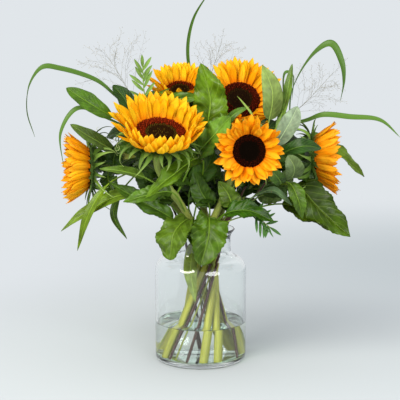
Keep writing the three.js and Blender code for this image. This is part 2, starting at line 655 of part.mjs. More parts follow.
function vaseSolid() {
  const { radius, height, wall, floor, footRound, shoulderZ, shoulderRound } = VASE;
  const { neckRadius, neckZ, lipRadius, lipDrop } = VASE;
  const shoulder = (round) => arc(radius - shoulderRound, shoulderZ, round, 0, 80, 3);
  const outside = [
    [0, 0],
    ...arc(radius - footRound, footRound, footRound, -90, 0, 2),
    ...shoulder(shoulderRound),
    [neckRadius, neckZ],
    [neckRadius, height - lipDrop],
    [lipRadius, height - 2],
    [lipRadius - 2, height],
  ];
  const inside = [
    [neckRadius - wall, height - lipDrop],
    [neckRadius - wall, neckZ],
    ...shoulder(shoulderRound - wall).reverse(),
    ...arc(INNER_RADIUS - footRound, floor + footRound, footRound, 0, -90, 2),
    [0, floor],
  ];
  return solidOf(lathe([...outside, ...inside], VASE.segments));
}

// The water fills the vase to its level, with a plain hole for each stem.
function waterSolid(stems) {
  const radius = INNER_RADIUS - GAP;
  const bottom = VASE.floor + GAP;
  const body = solidOf(lathe([
    [0, bottom],
    ...arc(radius - VASE.footRound, bottom + VASE.footRound, VASE.footRound, -90, 0, 2),
    [radius, WATER_TOP],
    [0, WATER_TOP],
  ], VASE.segments));
  return stems.map(solidOf).reduce((water, stem) => water.subtract(stem), body);
}

// ---------------------------------------------------------------------------------------------
// Assembly
// ---------------------------------------------------------------------------------------------

const bouquet = new THREE.Group();
bouquet.name = 'sunflowers_in_vase';
const holes = []; // where stems stand in the water

function addMesh(parent, name, solid, color, roughness = 0.6) {
  const material = new THREE.MeshStandardMaterial({ color, roughness, metalness: 0 });
  const mesh = new THREE.Mesh(geometryOf(solid), material);
  mesh.name = name;
  parent.add(mesh);
}

// One body of a stem and what grows from it, and the hole that it stands in.
function addStem(name, line, size, growth, colour) {
  addMesh(bouquet, name, fuse([stemRod(line, size), ...growth]), colour);
  holes.push(stemRod(line, size, GAP));
}

for (const flower of SUNFLOWERS) {
  const head = headMatrix(flower);
  const behind = (depth) => vector(flower.disc).addScaledVector(direction(flower.looks), -depth);
  const beyond = [...flower.via.map(vector), behind(NECK_REACH), behind(RECEPTACLE.depth)];
  const line = stemLine(flower, beyond);
  const leaves = flower.leaves.map((leaf) => leafOn(line, leaf));
  const growth = [greenBack(flower).applyMatrix4(head), ...leaves];
  addStem(`sunflower_${flower.name}_stem`, line, STEM, growth, COLOURS.stem);

  const bloom = new THREE.Group();
  bloom.applyMatrix4(head);
  addMesh(bloom, `sunflower_${flower.name}_petals`, petalCrown(flower), COLOURS.petal);
  addMesh(bloom, `sunflower_${flower.name}_disc`, seedDisc(flower), COLOURS.disc, 0.9);
  bouquet.add(bloom);
}

for (const twig of TWIGS) {
  const line = stemLine(twig, twig.path.map(vector));
  const leaves = twig.leaves.map((leaf) => leafOn(line, leaf));
  addStem(`twig_${twig.name}`, line, TWIG, leaves, COLOURS.twig);
}

for (const grass of GRASSES) {
  const line = stemLine(grass, grass.path.map(vector));
  const blades = grass.blades.map((blade) => grassBlade(line, blade));
  addStem(`grass_${grass.name}`, line, CULM, blades, COLOURS.grass);
  addMesh(bouquet, `panicle_${grass.name}`, panicle(line.getPoint(1), grass.panicle), COLOURS.panicle);
}

for (const spray of SPRAYS) {
  const line = stemLine(spray, spray.path.map(vector));
  addStem(`spray_${spray.name}`, line, CULM, sprayLeaflets(line, spray), COLOURS.spray);
}

addMesh(bouquet, 'glass_vase', vaseSolid(), COLOURS.glass, 0.05);
addMesh(bouquet, 'water', waterSolid(holes), COLOURS.water, 0.05);

export default bouquet;
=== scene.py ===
import math

import bpy
import numpy as np
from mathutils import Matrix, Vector


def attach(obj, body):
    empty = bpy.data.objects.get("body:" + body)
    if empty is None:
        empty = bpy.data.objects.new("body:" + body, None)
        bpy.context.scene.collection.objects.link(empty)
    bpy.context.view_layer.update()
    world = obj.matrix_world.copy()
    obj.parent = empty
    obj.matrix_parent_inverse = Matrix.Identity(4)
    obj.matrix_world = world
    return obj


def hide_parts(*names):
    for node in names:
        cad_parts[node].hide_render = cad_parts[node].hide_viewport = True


# Six sunflowers, leafy twigs, switch grass and fine foliage in a clear glass vase.
# The layout is in millimetres, +Z up and -Y towards the viewer; meshes are in metres.

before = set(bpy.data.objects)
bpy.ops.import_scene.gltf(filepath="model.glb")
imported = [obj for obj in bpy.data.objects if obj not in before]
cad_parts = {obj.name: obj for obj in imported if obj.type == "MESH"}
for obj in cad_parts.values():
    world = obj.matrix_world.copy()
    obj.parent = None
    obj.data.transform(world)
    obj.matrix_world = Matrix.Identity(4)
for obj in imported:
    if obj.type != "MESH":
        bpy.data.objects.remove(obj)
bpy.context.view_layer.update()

MM = 0.001

# ---------------------------------------------------------------------------------------------
# Layout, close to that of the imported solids. A stem goes from its cut foot on the vase's floor, at x and y,
# through the waist of the bunch in the vase's neck, at an angle in degrees and a radius, and on
# through its own points.
# ---------------------------------------------------------------------------------------------

VASE = {"radius": 75, "wall": 3.5, "floor": 8, "foot_round": 8, "neck": 49, "shoulder": 22,
        "shoulder_z": 152}
WATER_TOP = 64
WAIST = {"x": 8, "z": 165}
STEM_FOOT_Z = VASE["floor"] + 0.3
# Stems: the radius at the foot and at the neck, the sides of the mesh, and the depth of the ridges
# along it and of its unevenness as shares of its radius.
STEM = {"foot": 6.6, "neck": 4.6, "sides": 20, "flute": 0.03, "rough": 0}
TWIG = {"foot": 2.3, "neck": 1.2, "sides": 12, "flute": 0.02, "rough": 0.05}
CULM = {"foot": 1.4, "neck": 0.8, "sides": 10, "flute": 0, "rough": 0}
# A sunflower's stem bends into its head over this reach, and ends this deep behind the petals.
NECK_REACH = 62
RECEPTACLE_DEPTH = 17

# A leaf's half width along its blade goes as s^rise (1 - s)^fall. Fold is how far its edges stand
# up, wave how far they go up and down, and crumple how far its fields do, as shares of its half
# width. Its teeth and the depth of its veins are shares of its width.
LEAF_KINDS = {
    "heart": {"rise": 0.5, "fall": 0.85, "teeth": 0.055, "fold": 0.28, "wave": 0.1, "crumple": 0.36,
              "vein_depth": 0.05, "veins": 7},
    "oval": {"rise": 0.65, "fall": 0.7, "teeth": 0, "fold": 0.2, "wave": 0, "crumple": 0.1,
             "vein_depth": 0.014, "veins": 9},
    "lance": {"rise": 0.6, "fall": 0.9, "teeth": 0, "fold": 0.25, "wave": 0.05, "crumple": 0.1,
              "vein_depth": 0.014, "veins": 8},
}


def leaf(kind, at, width, tone, looks, rib, wave=None, crumpled=1, fall=None, half_paler=None,
         brighter_tip=0):
    """A leaf that grows at a share of its stem's length. The rib has the points of its blade, and
    its upper side looks one way. What isn't given is as usual for its kind; half_paler makes its
    right half lighter than its left one."""
    form = LEAF_KINDS[kind]
    return {"form": form, "at": at, "width": width, "tone": tone, "looks": looks, "rib": rib,
            "wave": form["wave"] if wave is None else wave, "crumpled": crumpled,
            "fall": form["fall"] if fall is None else fall, "half_paler": half_paler,
            "brighter_tip": brighter_tip}


# What a sunflower's head is like unless its own entry says otherwise. Petals rise from the disc's
# face by the cup's two angles, at their root and at their tip. Lean tips the crown to one side, as
# an angle round the disc and degrees of rise, front adds to the two angles of the petals below the
# disc, and short_side shortens the ones to its right and lengthens the ones to its left. Inset
# makes the disc smaller than the imported one, and its tones are those of its band, of the ring
# inside that and of its middle. Fullness has the share of petals in each of the rows.
# Taking green out of a head's petals makes them more orange: partly their own colour, partly painted shade on
# the heads that stand in shade, most on the right one.
USUAL_HEAD = {
    "inset": 0, "disc_tones": ["#6e1f08", "#5a4a10", "#1a0d03"], "stem_tone": "#5f7028",
    "fullness": [1, 1, 1], "loose": 1, "slim": 1, "deeper_orange_and_shade": 1, "short_side": 0, "lean": [0, 0],
    "front": [0, 0], "bracts": 34, "long_bracts": 1, "tendrils": 0,
}

# A flower's small leaves fill the inside of the bunch; their darkest greens are partly painted shade.
SUNFLOWERS = [
    {
        **USUAL_HEAD, "name": "front_left", "seed": 1,
        "foot": [32, 46], "waist": [152, 17], "via": [[-20, -22, 240]], "stem_tone": "#8a9a48",
        "disc": [-61, -95, 383], "looks": [0.12, -0.5, 0.86], "disc_radius": 39,
        "disc_tones": ["#661d08", "#4a3a10", "#1a0d03"],
        "petals": 26, "petal_length": 42, "petal_width": 15, "cup": [30, 56],
        "fullness": [1.2, 1.2, 1.4], "loose": 0.8, "slim": 0.95, "short_side": 0.12, "lean": [0, 8],
        "front": [-28, 42],
        "bracts": 44, "tendrils": 12,
        "leaves": [
            leaf("heart", at=0.43, width=34, tone="#6c9020", looks=[-0.3, -0.6, 0.7],
                 rib=[[2, -62, 343], [-44, -103, 320], [-86, -98, 284]]),
            leaf("heart", at=0.6, width=40, tone="#6a9030", looks=[-0.5, -0.8, 0.3], wave=0.16, crumpled=1.4,
                 rib=[[-6, -68, 348], [22, -102, 384], [46, -83, 410]]),
            leaf("heart", at=0.37, width=50, tone="#5e7a24", looks=[-0.3, -0.95, 0.3],
                 wave=0.12, crumpled=1.7, fall=0.62,
                 rib=[[-20, -52, 243], [-42, -84, 226], [-48, -92, 184]]),
            # This leaf hangs down into the vase; its pale tone is painted light that makes up for the light
            # the glass and water take from it.
            leaf("lance", at=0.3, width=22, tone="#b4cc68", looks=[-0.2, -1, 0.1], wave=0.06,
                 rib=[[-12, -24, 200], [-16, -40, 160], [-8, -50, 106]]),
            leaf("heart", at=0.36, width=32, tone="#527526", looks=[0.3, -0.7, 0.6], wave=0.05,
                 rib=[[-44, -34, 240], [-90, -52, 270], [-146, -50, 302]]),
            leaf("heart", at=0.42, width=38, tone="#4b6d22", looks=[-0.2, -0.9, 0.4],
                 rib=[[-50, -24, 264], [-82, -32, 296], [-108, -36, 332]]),
            leaf("lance", at=0.6, width=22, tone="#6b8a38", looks=[0, -0.6, 0.8],
                 rib=[[-88, -56, 310], [-124, -66, 322], [-160, -62, 325]]),
            leaf("heart", at=0.5, width=30, tone="#5a7d28", looks=[-0.2, -0.8, 0.6],
                 rib=[[-46, -64, 288], [-82, -78, 286], [-122, -74, 274]]),
        ],
        "small_leaves": [
            leaf("heart", at=0.35, width=34, tone="#64842c", looks=[0, -1, 0.2], wave=0, crumpled=2,
                 rib=[[-14, -48, 240], [-8, -70, 224], [-4, -76, 196]]),
            leaf("heart", at=0.5, width=34, tone="#4f7426", looks=[0.2, -0.9, 0.3],
                 rib=[[-14, -40, 300], [8, -46, 322], [22, -40, 352]]),
        ],
    },
    {
        **USUAL_HEAD, "name": "front_right", "seed": 2,
        "foot": [-32, 46], "waist": [212, 17], "via": [[20, -38, 240]], "stem_tone": "#76853a",
        "disc": [74, -115, 359], "looks": [0.03, -0.99, 0.08], "disc_radius": 26, "inset": 2.5,
        "disc_tones": ["#461508", "#160c05", "#060301"],
        "petals": 20, "petal_length": 29, "petal_width": 15, "cup": [14, 28],
        "fullness": [1.1, 0.75, 0.5], "loose": 2.3, "slim": 0.88, "deeper_orange_and_shade": 0.82,
        "bracts": 30, "tendrils": 4,
        "leaves": [
            leaf("heart", at=0.36, width=56, tone="#5a7c20", looks=[0.1, -1, 0.2], crumpled=1.8, fall=0.62,
                 rib=[[13, -52, 246], [13, -75, 222], [0, -85, 174]]),
            leaf("heart", at=0.38, width=34, tone="#3a6410", looks=[-0.1, -0.6, 0.8], wave=0.08,
                 rib=[[38, -68, 254], [74, -82, 262], [116, -76, 243]]),
            leaf("heart", at=0.46, width=32, tone="#6f8c34", looks=[-0.2, -0.9, 0.3],
                 rib=[[48, -60, 264], [44, -68, 284], [28, -66, 306]]),
            leaf("heart", at=0.42, width=34, tone="#55782a", looks=[-0.1, -0.95, 0.2],
                 rib=[[14, -44, 262], [0, -50, 288], [-10, -46, 322]]),
            leaf("heart", at=0.5, width=32, tone="#6a8448", looks=[-0.2, -0.9, 0.4],
                 rib=[[56, -52, 300], [72, -62, 318], [98, -64, 320]]),
        ],
        "small_leaves": [
            leaf("lance", at=0.86, width=14, tone="#557a2c", looks=[-0.3, -0.9, 0.2], wave=0.1,
                 rib=[[50, -70, 392], [46, -76, 405], [56, -78, 415], [76, -76, 424]]),
            leaf("lance", at=0.88, width=4, tone="#93a85a", looks=[0.3, -0.9, 0.2], wave=0.1,
                 rib=[[80, -72, 392], [80, -76, 410], [69, -78, 426], [56, -76, 441]]),
            leaf("lance", at=0.9, width=9, tone="#6f9040", looks=[0, -0.9, 0.2], wave=0.1,
                 rib=[[50, -80, 386], [40, -78, 398], [30, -76, 416]]),
        ],
    },
    {
        **USUAL_HEAD, "name": "top_right", "seed": 3,
        "foot": [4, -54], "waist": [340, 17], "via": [[34, 10, 250]],
        "disc": [63, -5, 430], "looks": [0.06, -0.8, 0.58], "disc_radius": 31,
        "disc_tones": ["#5c1a0a", "#3a2a0c", "#160b04"],
        "petals": 26, "petal_length": 40, "petal_width": 14, "cup": [14, 28],
        "loose": 0.7, "slim": 0.88, "deeper_orange_and_shade": 0.94, "front": [-10, 50],
        "leaves": [
            leaf("heart", at=0.55, width=55, tone="#6a8a1c", looks=[0.1, -0.95, -0.2],
                 wave=0.14, crumpled=2.2,
                 rib=[[12, -51, 388], [15, -54, 434], [0, -47, 490]]),
            leaf("heart", at=0.5, width=52, tone="#4d7022", looks=[0.1, 0.6, 0.8], wave=0.12,
                 rib=[[70, 60, 350], [84, 92, 380], [92, 118, 360]]),
            leaf("heart", at=0.5, width=40, tone="#5a7c2a", looks=[-0.1, -0.95, 0.2],
                 rib=[[22, -6, 300], [10, -22, 334], [6, -26, 368]]),
        ],
        "small_leaves": [
            leaf("heart", at=0.6, width=40, tone="#2c461a", looks=[0.1, -0.9, 0.4],
                 rib=[[38, 8, 292], [32, -6, 286], [26, -14, 258]]),
            leaf("heart", at=0.64, width=40, tone="#35521a", looks=[0.2, -0.9, 0.4],
                 rib=[[56, 10, 312], [66, -4, 308], [74, -12, 282]]),
            leaf("heart", at=0.52, width=38, tone="#35521a", looks=[0.1, -0.9, 0.4],
                 rib=[[24, 10, 262], [8, 4, 270], [-8, 0, 262]]),
        ],
    },
    {
        **USUAL_HEAD, "name": "top_left", "seed": 4,
        "foot": [26, -50], "waist": [40, 17], "via": [[4, 30, 250]],
        "disc": [-34, 55, 441], "looks": [0, -0.5, 0.86], "disc_radius": 24,
        "petals": 22, "petal_length": 36, "petal_width": 12, "cup": [26, 46],
        "loose": 0.8,
        "leaves": [
            leaf("heart", at=0.5, width=54, tone="#4d7022", looks=[-0.2, 0.6, 0.8], wave=0.12,
                 rib=[[-30, 70, 350], [-52, 104, 366], [-70, 130, 330]]),
            leaf("heart", at=0.42, width=48, tone="#446a1e", looks=[0.1, 0.6, 0.8], wave=0.12,
                 rib=[[-14, 62, 280], [-16, 92, 292], [-14, 122, 250]]),
            leaf("heart", at=0.46, width=36, tone="#567a2c", looks=[-0.3, -0.9, 0.4],
                 rib=[[-38, 14, 290], [-64, 2, 316], [-84, 0, 350]]),
        ],
        "small_leaves": [
            leaf("heart", at=0.8, width=24, tone="#5f8430", looks=[0, -0.9, 0.4],
                 rib=[[-56, 24, 410], [-36, 2, 430], [2, -8, 434]]),
            leaf("lance", at=0.86, width=9, tone="#6f9440", looks=[0, -0.9, 0.4],
                 rib=[[-58, 28, 424], [-66, 18, 436], [-50, 8, 448]]),
            leaf("heart", at=0.58, width=40, tone="#35521a", looks=[-0.2, -0.9, 0.4],
                 rib=[[-22, 40, 294], [-38, 24, 288], [-56, 12, 264]]),
            leaf("heart", at=0.54, width=40, tone="#2c461a", looks=[0.1, -0.9, 0.4],
                 rib=[[-4, 30, 286], [0, 14, 282], [4, 4, 254]]),
            leaf("heart", at=0.66, width=40, tone="#35521a", looks=[-0.2, -0.9, 0.4],
                 rib=[[-34, 50, 330], [-48, 34, 322], [-68, 20, 300]]),
            leaf("heart", at=0.62, width=40, tone="#2c461a", looks=[0, -0.9, 0.4],
                 rib=[[-14, 42, 318], [-12, 26, 322], [-16, 14, 300]]),
            leaf("heart", at=0.52, width=42, tone="#2c461a", looks=[-0.1, -0.9, 0.4],
                 rib=[[-14, 28, 266], [-32, 22, 268], [-54, 16, 254]]),
        ],
    },
    {
        **USUAL_HEAD, "name": "left", "seed": 5,
        "foot": [55, 4], "waist": [97, 17], "via": [[-30, 8, 240]],
        "disc": [-184, -5, 319], "looks": [-0.98, -0.18, 0.02], "disc_radius": 33,
        "petals": 26, "petal_length": 38, "petal_width": 14, "cup": [52, 70],
        "fullness": [1.2, 1.2, 1.3], "loose": 1.5, "slim": 0.85, "deeper_orange_and_shade": 0.84,
        "bracts": 46, "long_bracts": 1.3, "tendrils": 10,
        "leaves": [
            leaf("lance", at=0.4, width=30, tone="#7c9a2e", looks=[-0.1, -0.6, 0.8], wave=0.06,
                 rib=[[-58, -20, 240], [-122, -40, 280], [-184, -46, 252], [-224, -44, 222]]),
            leaf("lance", at=0.72, width=16, tone="#6a8420", looks=[-0.4, -0.9, 0.1],
                 rib=[[-150, -52, 296], [-176, -66, 256], [-196, -66, 194]]),
            leaf("lance", at=0.7, width=12, tone="#5a7a2a", looks=[0.2, -1, 0],
                 rib=[[-132, 0, 276], [-142, -6, 242], [-120, -10, 202]]),
            leaf("heart", at=0.5, width=52, tone="#4d7022", looks=[-0.3, 0.5, 0.8], wave=0.12,
                 rib=[[-100, 60, 300], [-136, 92, 310], [-170, 110, 276]]),
        ],
        "small_leaves": [
            leaf("heart", at=0.56, width=42, tone="#2c461a", looks=[0, -0.9, 0.4],
                 rib=[[-48, 16, 274], [-44, 20, 292], [-32, 22, 316]]),
            leaf("heart", at=0.9, width=27, tone="#35521a", looks=[0.2, -0.9, 0.3],
                 rib=[[-142, -16, 326], [-138, -28, 342], [-128, -34, 364]]),
            leaf("heart", at=0.88, width=28, tone="#3c5c1c", looks=[0.2, -0.9, 0.3],
                 rib=[[-150, -14, 308], [-146, -26, 294], [-134, -34, 272]]),
        ],
    },
    {
        **USUAL_HEAD, "name": "right", "seed": 6,
        "foot": [-51, -23], "waist": [276, 17], "via": [[46, -6, 240]],
        "disc": [186, 0, 335], "looks": [0.99, -0.06, 0.04], "disc_radius": 33,
        "petals": 26, "petal_length": 38, "petal_width": 14, "cup": [52, 70],
        "fullness": [1.3, 1.3, 1.4], "loose": 1.5, "slim": 0.8, "deeper_orange_and_shade": 0.76,
        "bracts": 46, "long_bracts": 1.3, "tendrils": 6,
        "leaves": [
            leaf("heart", at=0.6, width=54, tone="#405804", looks=[0.3, -0.85, 0.45],
                 half_paler=0.2, brighter_tip=0.4,
                 rib=[[150, -46, 296], [189, -66, 261], [238, -62, 216]]),
            leaf("heart", at=0.5, width=40, tone="#68861a", looks=[0.2, -0.7, 0.6],
                 rib=[[132, -16, 262], [186, -30, 244], [238, -36, 212]]),
            leaf("heart", at=0.66, width=46, tone="#6a8424", looks=[0.2, -0.5, 0.86],
                 rib=[[166, 76, 348], [222, 86, 340], [276, 64, 296]]),
            leaf("heart", at=0.46, width=38, tone="#6a8050", looks=[-0.1, -0.9, 0.4],
                 rib=[[92, -14, 272], [124, -30, 288], [150, -36, 326]]),
        ],
        "small_leaves": [
            leaf("heart", at=0.78, width=32, tone="#3f5f1c", looks=[0.2, -0.9, 0.4],
                 rib=[[128, -14, 322], [150, -24, 344], [170, -28, 376]]),
            leaf("heart", at=0.82, width=34, tone="#37561e", looks=[0.4, -0.9, 0.2],
                 rib=[[146, -24, 320], [168, -36, 314], [186, -38, 290]]),
        ],
    },
]

# Woody twigs with smooth oval leaves.
TWIGS = [
    {
        "name": "left", "foot": [0, 60], "waist": [170, 28],
        "path": [[-30, 9, 212], [-66, 22, 290], [-112, -4, 370], [-124, -26, 398]],
        "leaves": [
            leaf("oval", at=0.96, width=32, tone="#4f7418", looks=[0.3, -0.8, 0.5],
                 rib=[[-140, -32, 404], [-176, -46, 428], [-212, -42, 451]]),
            leaf("oval", at=0.9, width=30, tone="#2a4c12", looks=[0.5, -0.8, 0.2],
                 rib=[[-112, -8, 402], [-122, 2, 430], [-142, 8, 453]]),
            leaf("oval", at=0.86, width=26, tone="#5c7434", looks=[0.2, -0.7, 0.7],
                 rib=[[-134, -28, 352], [-168, -46, 370], [-206, -48, 394]]),
            leaf("oval", at=0.76, width=24, tone="#84883a", looks=[0, -0.9, 0.5],
                 rib=[[-104, -16, 346], [-118, -20, 346], [-138, -18, 338]]),
        ],
    },
    {
        "name": "upper_right", "foot": [-21, -54], "waist": [309, 29],
        "path": [[36, -22, 212], [92, -46, 340], [106, -50, 392]],
        "leaves": [
            leaf("oval", at=0.98, width=33, tone="#83975c", looks=[-0.1, -0.95, 0.3], fall=0.95,
                 rib=[[108, -56, 402], [112, -66, 446], [96, -56, 488]]),
            leaf("oval", at=0.94, width=30, tone="#9baca5", looks=[0.2, -0.95, 0.3],
                 rib=[[116, -70, 366], [136, -86, 396], [150, -82, 425]]),
            leaf("oval", at=0.9, width=18, tone="#6f9040", looks=[-0.6, -0.7, 0.3],
                 rib=[[118, -60, 388], [134, -54, 436], [144, -44, 489]]),
        ],
    },
    {
        "name": "lower_right", "foot": [-46, -36], "waist": [283, 30],
        "path": [[18, -38, 212], [92, -66, 290], [122, -68, 336]],
        "leaves": [
            leaf("oval", at=0.98, width=28, tone="#2f5518", looks=[0, -0.7, 0.7],
                 rib=[[128, -76, 350], [158, -92, 364], [188, -80, 360]]),
            leaf("oval", at=0.92, width=30, tone="#708360", looks=[0.1, -1, 0.1],
                 rib=[[138, -84, 312], [144, -106, 332], [134, -108, 352]]),
            leaf("oval", at=0.86, width=22, tone="#4f6f30", looks=[-0.2, -1, 0.1],
                 rib=[[124, -84, 304], [118, -108, 318], [104, -112, 332]]),
            leaf("oval", at=0.7, width=16, tone="#5f7a60", looks=[0.1, -0.5, 0.85],
                 rib=[[80, -84, 282], [112, -98, 296], [142, -96, 272]]),
            leaf("heart", at=0.84, width=24, tone="#4f6c20", looks=[0.3, -0.95, 0.2],
                 rib=[[138, -92, 306], [150, -108, 284], [158, -100, 252]]),
        ],
    },
    {
        "name": "back", "foot": [54, -26], "waist": [62, 27],
        "path": [[26, 34, 212], [30, 84, 330], [38, 90, 400]],
        "leaves": [
            leaf("oval", at=0.98, width=34, tone="#4a6a2c", looks=[0.2, 0.95, 0.2],
                 rib=[[40, 88, 410], [54, 90, 442], [56, 82, 474]]),
            leaf("oval", at=0.9, width=30, tone="#557630", looks=[0.3, 0.8, 0.5],
                 rib=[[30, 104, 380], [62, 124, 396], [92, 126, 420]]),
            leaf("oval", at=0.8, width=30, tone="#4f7028", looks=[-0.3, 0.8, 0.5],
                 rib=[[0, 102, 368], [-30, 124, 394], [-58, 130, 420]]),
        ],
    },
]

# Switch grass: long arching blades on a culm that ends in an open, hair-fine panicle. The
# panicle leans along its axis, and its branches reach as far as spread to every side.
GRASSES = [
    {
        "name": "left", "foot": [20, 54], "waist": [140, 28],
        "path": [[-22, 26, 212], [-84, 30, 350], [-110, 26, 428]],
        "blades": [
            {"at": 0.9, "width": 12, "looks": [0.2, -0.65, 0.75],
             "rib": [[-140, 14, 436], [-168, 6, 460], [-226, -8, 480], [-252, -12, 482],
                     [-273, -15, 454], [-278, -16, 414], [-267, -15, 371]]},
            {"at": 0.8, "width": 9, "looks": [0.2, -0.6, 0.7],
             "rib": [[-150, 4, 398], [-197, -20, 417], [-223, -26, 380], [-220, -26, 322]]},
        ],
        "panicle": {"axis": [-0.5, 0, 0.86], "reach": 96, "spread": 58, "seed": 11},
    },
    {
        "name": "middle", "foot": [56, 18], "waist": [85, 29],
        "path": [[8, 40, 212], [4, 96, 370], [6, 104, 440]],
        "blades": [
            {"at": 0.9, "width": 6, "looks": [0.3, -0.9, 0.1],
             "rib": [[-16, 116, 462], [-22, 110, 510], [-12, 100, 560], [16, 88, 606]]},
        ],
        "panicle": {"axis": [0.35, 0, 0.93], "reach": 88, "spread": 54, "seed": 12},
    },
    {
        "name": "right", "foot": [-38, -44], "waist": [296, 30],
        "path": [[29, -31, 212], [68, -20, 300], [132, 20, 374], [152, 34, 404]],
        "blades": [
            {"at": 0.93, "width": 12, "looks": [-0.5, -0.7, 0.5],
             "rib": [[150, 4, 450], [184, -22, 508], [206, -30, 520],
                     [222, -34, 492], [226, -34, 462], [222, -32, 430]]},
            {"at": 0.88, "width": 11, "looks": [0, -0.75, 0.66],
             "rib": [[172, -6, 397], [196, -24, 407], [238, -30, 404],
                     [286, -32, 399], [318, -36, 372]]},
            {"at": 0.9, "width": 10, "looks": [-0.9, -0.3, 0.3],
             "rib": [[136, 24, 438], [139, 24, 472], [149, 22, 470], [149, 18, 428]]},
        ],
        "panicle": {"axis": [0.7, 0.22, 0.68], "reach": 96, "spread": 56, "seed": 13},
    },
]

# Fine compound foliage: narrow leaflets on both sides of a thin rachis, from a share of its length
# on, and on one spray a smaller one at the foot of each.
SPRAYS = [
    {
        "name": "lower_right", "foot": [-54, 14], "waist": [250, 29],
        "path": [[6, -41, 212], [42, -60, 240], [84, -66, 250], [110, -66, 232]],
        "looks": [0, -0.95, 0.3], "tone": "#3f6a24", "from": 0.8,
        "leaflets": 9, "length": 29.7, "width": 4.675, "small_width": 2.75, "open": 1.15,
    },
    {
        "name": "upper_left", "foot": [8, 55], "waist": [120, 29],
        "path": [[-8, 40, 212], [-72, 44, 360], [-92, 24, 440], [-94, 16, 482]],
        "looks": [0, -1, 0.1], "tone": "#6c8c3c", "from": 0.76,
        "leaflets": 11, "length": 33, "width": 5.75, "small_width": 0, "open": 0.5,
    },
]

# ---------------------------------------------------------------------------------------------
# Colours
# ---------------------------------------------------------------------------------------------


def linear(hex_colour):
    """A hex colour as the eye knows it, turned to linear light."""
    parts = [int(hex_colour[i:i + 2], 16) / 255 for i in (1, 3, 5)]
    return tuple(c / 12.92 if c <= 0.04045 else ((c + 0.055) / 1.055) ** 2.4 for c in parts) + (1.0,)


def tone_of(hex_colour, share=1.0):
    """A hex colour's linear red, green and blue, made lighter or darker by a share."""
    return np.clip(np.array(linear(hex_colour)[:3]) * share, 0, 1)


# ---------------------------------------------------------------------------------------------
# Numbers and curves
# ---------------------------------------------------------------------------------------------

# The turn from each floret or bristle to the next, in radians, as in a sunflower's spirals.
GOLDEN_ANGLE = 2.399963


def jitter(index, seed):
    """A number from -1 to 1 that is always the same for the same index and seed."""
    wave = math.sin(index * 12.9898 + seed * 78.233) * 43758.5453
    return 2 * (wave - math.floor(wave)) - 1


def unit(vectors):
    """Vectors brought to a length of 1."""
    vectors = np.asarray(vectors, float)
    length = np.linalg.norm(vectors, axis=-1, keepdims=True)
    return vectors / np.maximum(length, 1e-12)


def round_angles(count):
    """Angles evenly round a circle."""
    return np.arange(count) * 2 * np.pi / count


class Line:
    """A smooth curve through points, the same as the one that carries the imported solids: its
    slope at a point goes by the square roots of the distances to the points beside it."""

    def __init__(self, points):
        self.points = np.array(points, float)

    def at(self, t):
        """Points at shares of the curve, from 0 to 1."""
        t = np.atleast_1d(np.asarray(t, float))
        last = len(self.points) - 1
        run = np.clip(t, 0, 1) * last
        index = np.minimum(np.floor(run).astype(int), last - 1)
        w = (run - index)[:, None]
        padded = np.vstack([2 * self.points[0] - self.points[1], self.points,
                            2 * self.points[-1] - self.points[-2]])
        a, b, c, d = (padded[index + k] for k in range(4))
        ab, bc, cd = (np.sum((q - p) ** 2, axis=1, keepdims=True) ** 0.25
                      for p, q in ((a, b), (b, c), (c, d)))
        leave = ((b - a) / ab - (c - a) / (ab + bc) + (c - b) / bc) * bc
        arrive = ((c - b) / bc - (d - b) / (bc + cd) + (d - c) / cd) * bc
        return (b + leave * w + (-3 * b + 3 * c - 2 * leave - arrive) * w ** 2
                + (2 * b - 2 * c + leave + arrive) * w ** 3)

    def way(self, t):
        """The curve's direction at shares of it."""
        t = np.atleast_1d(np.asarray(t, float))
        return unit(self.at(np.clip(t + 1e-4, 0, 1)) - self.at(np.clip(t - 1e-4, 0, 1)))

    def length(self):
        return float(np.sum(np.linalg.norm(np.diff(self.at(np.linspace(0, 1, 60)), axis=0), axis=1)))


def stem_line(plant, beyond):
    """The line of a stem: from its cut foot through the waist of the bunch and on."""
    angle, radius = plant["waist"]
    turn = math.radians(angle)
    waist = [WAIST["x"] + radius * math.cos(turn), radius * math.sin(turn), WAIST["z"]]
    return Line([[*plant["foot"], STEM_FOOT_Z], waist, *beyond])


def rib_frame(curve, t, sideways):
    """Points on a rib, and from each the ways along the rib, across the blade and off it."""
    centre, along = curve.at(t), curve.way(t)
    across = unit(sideways - along * (along @ sideways)[:, None])
    return centre, along, across, np.cross(across, along)


# ---------------------------------------------------------------------------------------------
# Meshes
# ---------------------------------------------------------------------------------------------


class Skin:
    """Grids and fans of points that become one mesh. Each point has a tone, and a place: how
    far across its blade from 0 to 1, and how far along."""

    def __init__(self):
        self.points, self.tones, self.places, self.faces = [], [], [], []
        self.count = 0

    def add(self, points, faces, tone, places=None):
        points = np.asarray(points, float).reshape(-1, 3)
        tone = np.broadcast_to(np.asarray(tone, float)[..., :3], (len(points), 3))
        if places is None:
            places = np.full((len(points), 2), 0.5)
        self.points.append(points)
        self.tones.append(tone)
        self.places.append(np.asarray(places, float).reshape(-1, 2))
        self.faces.extend([i + self.count for i in face] for face in faces)
        self.count += len(points)

    def build(self, name, *materials):
        mesh = bpy.data.meshes.new(name)
        mesh.from_pydata((np.concatenate(self.points) * MM).tolist(), [], self.faces)
        tones = np.concatenate(self.tones)
        colours = np.hstack([tones, np.ones((len(tones), 1))])
        mesh.color_attributes.new("tone", "FLOAT_COLOR", "POINT").data.foreach_set(
            "color", colours.ravel().astype(np.float32))
        corners = np.empty(len(mesh.loops), np.int32)
        mesh.loops.foreach_get("vertex_index", corners)
        places = np.concatenate(self.places)[corners]
        mesh.uv_layers.new(name="place").data.foreach_set("uv", places.ravel().astype(np.float32))
        mesh.polygons.foreach_set("use_smooth", np.ones(len(mesh.polygons), bool))
        for material in materials:
            mesh.materials.append(material)
        mesh.update()
        piece = bpy.data.objects.new(name, mesh)
        bpy.context.scene.collection.objects.link(piece)
        return piece


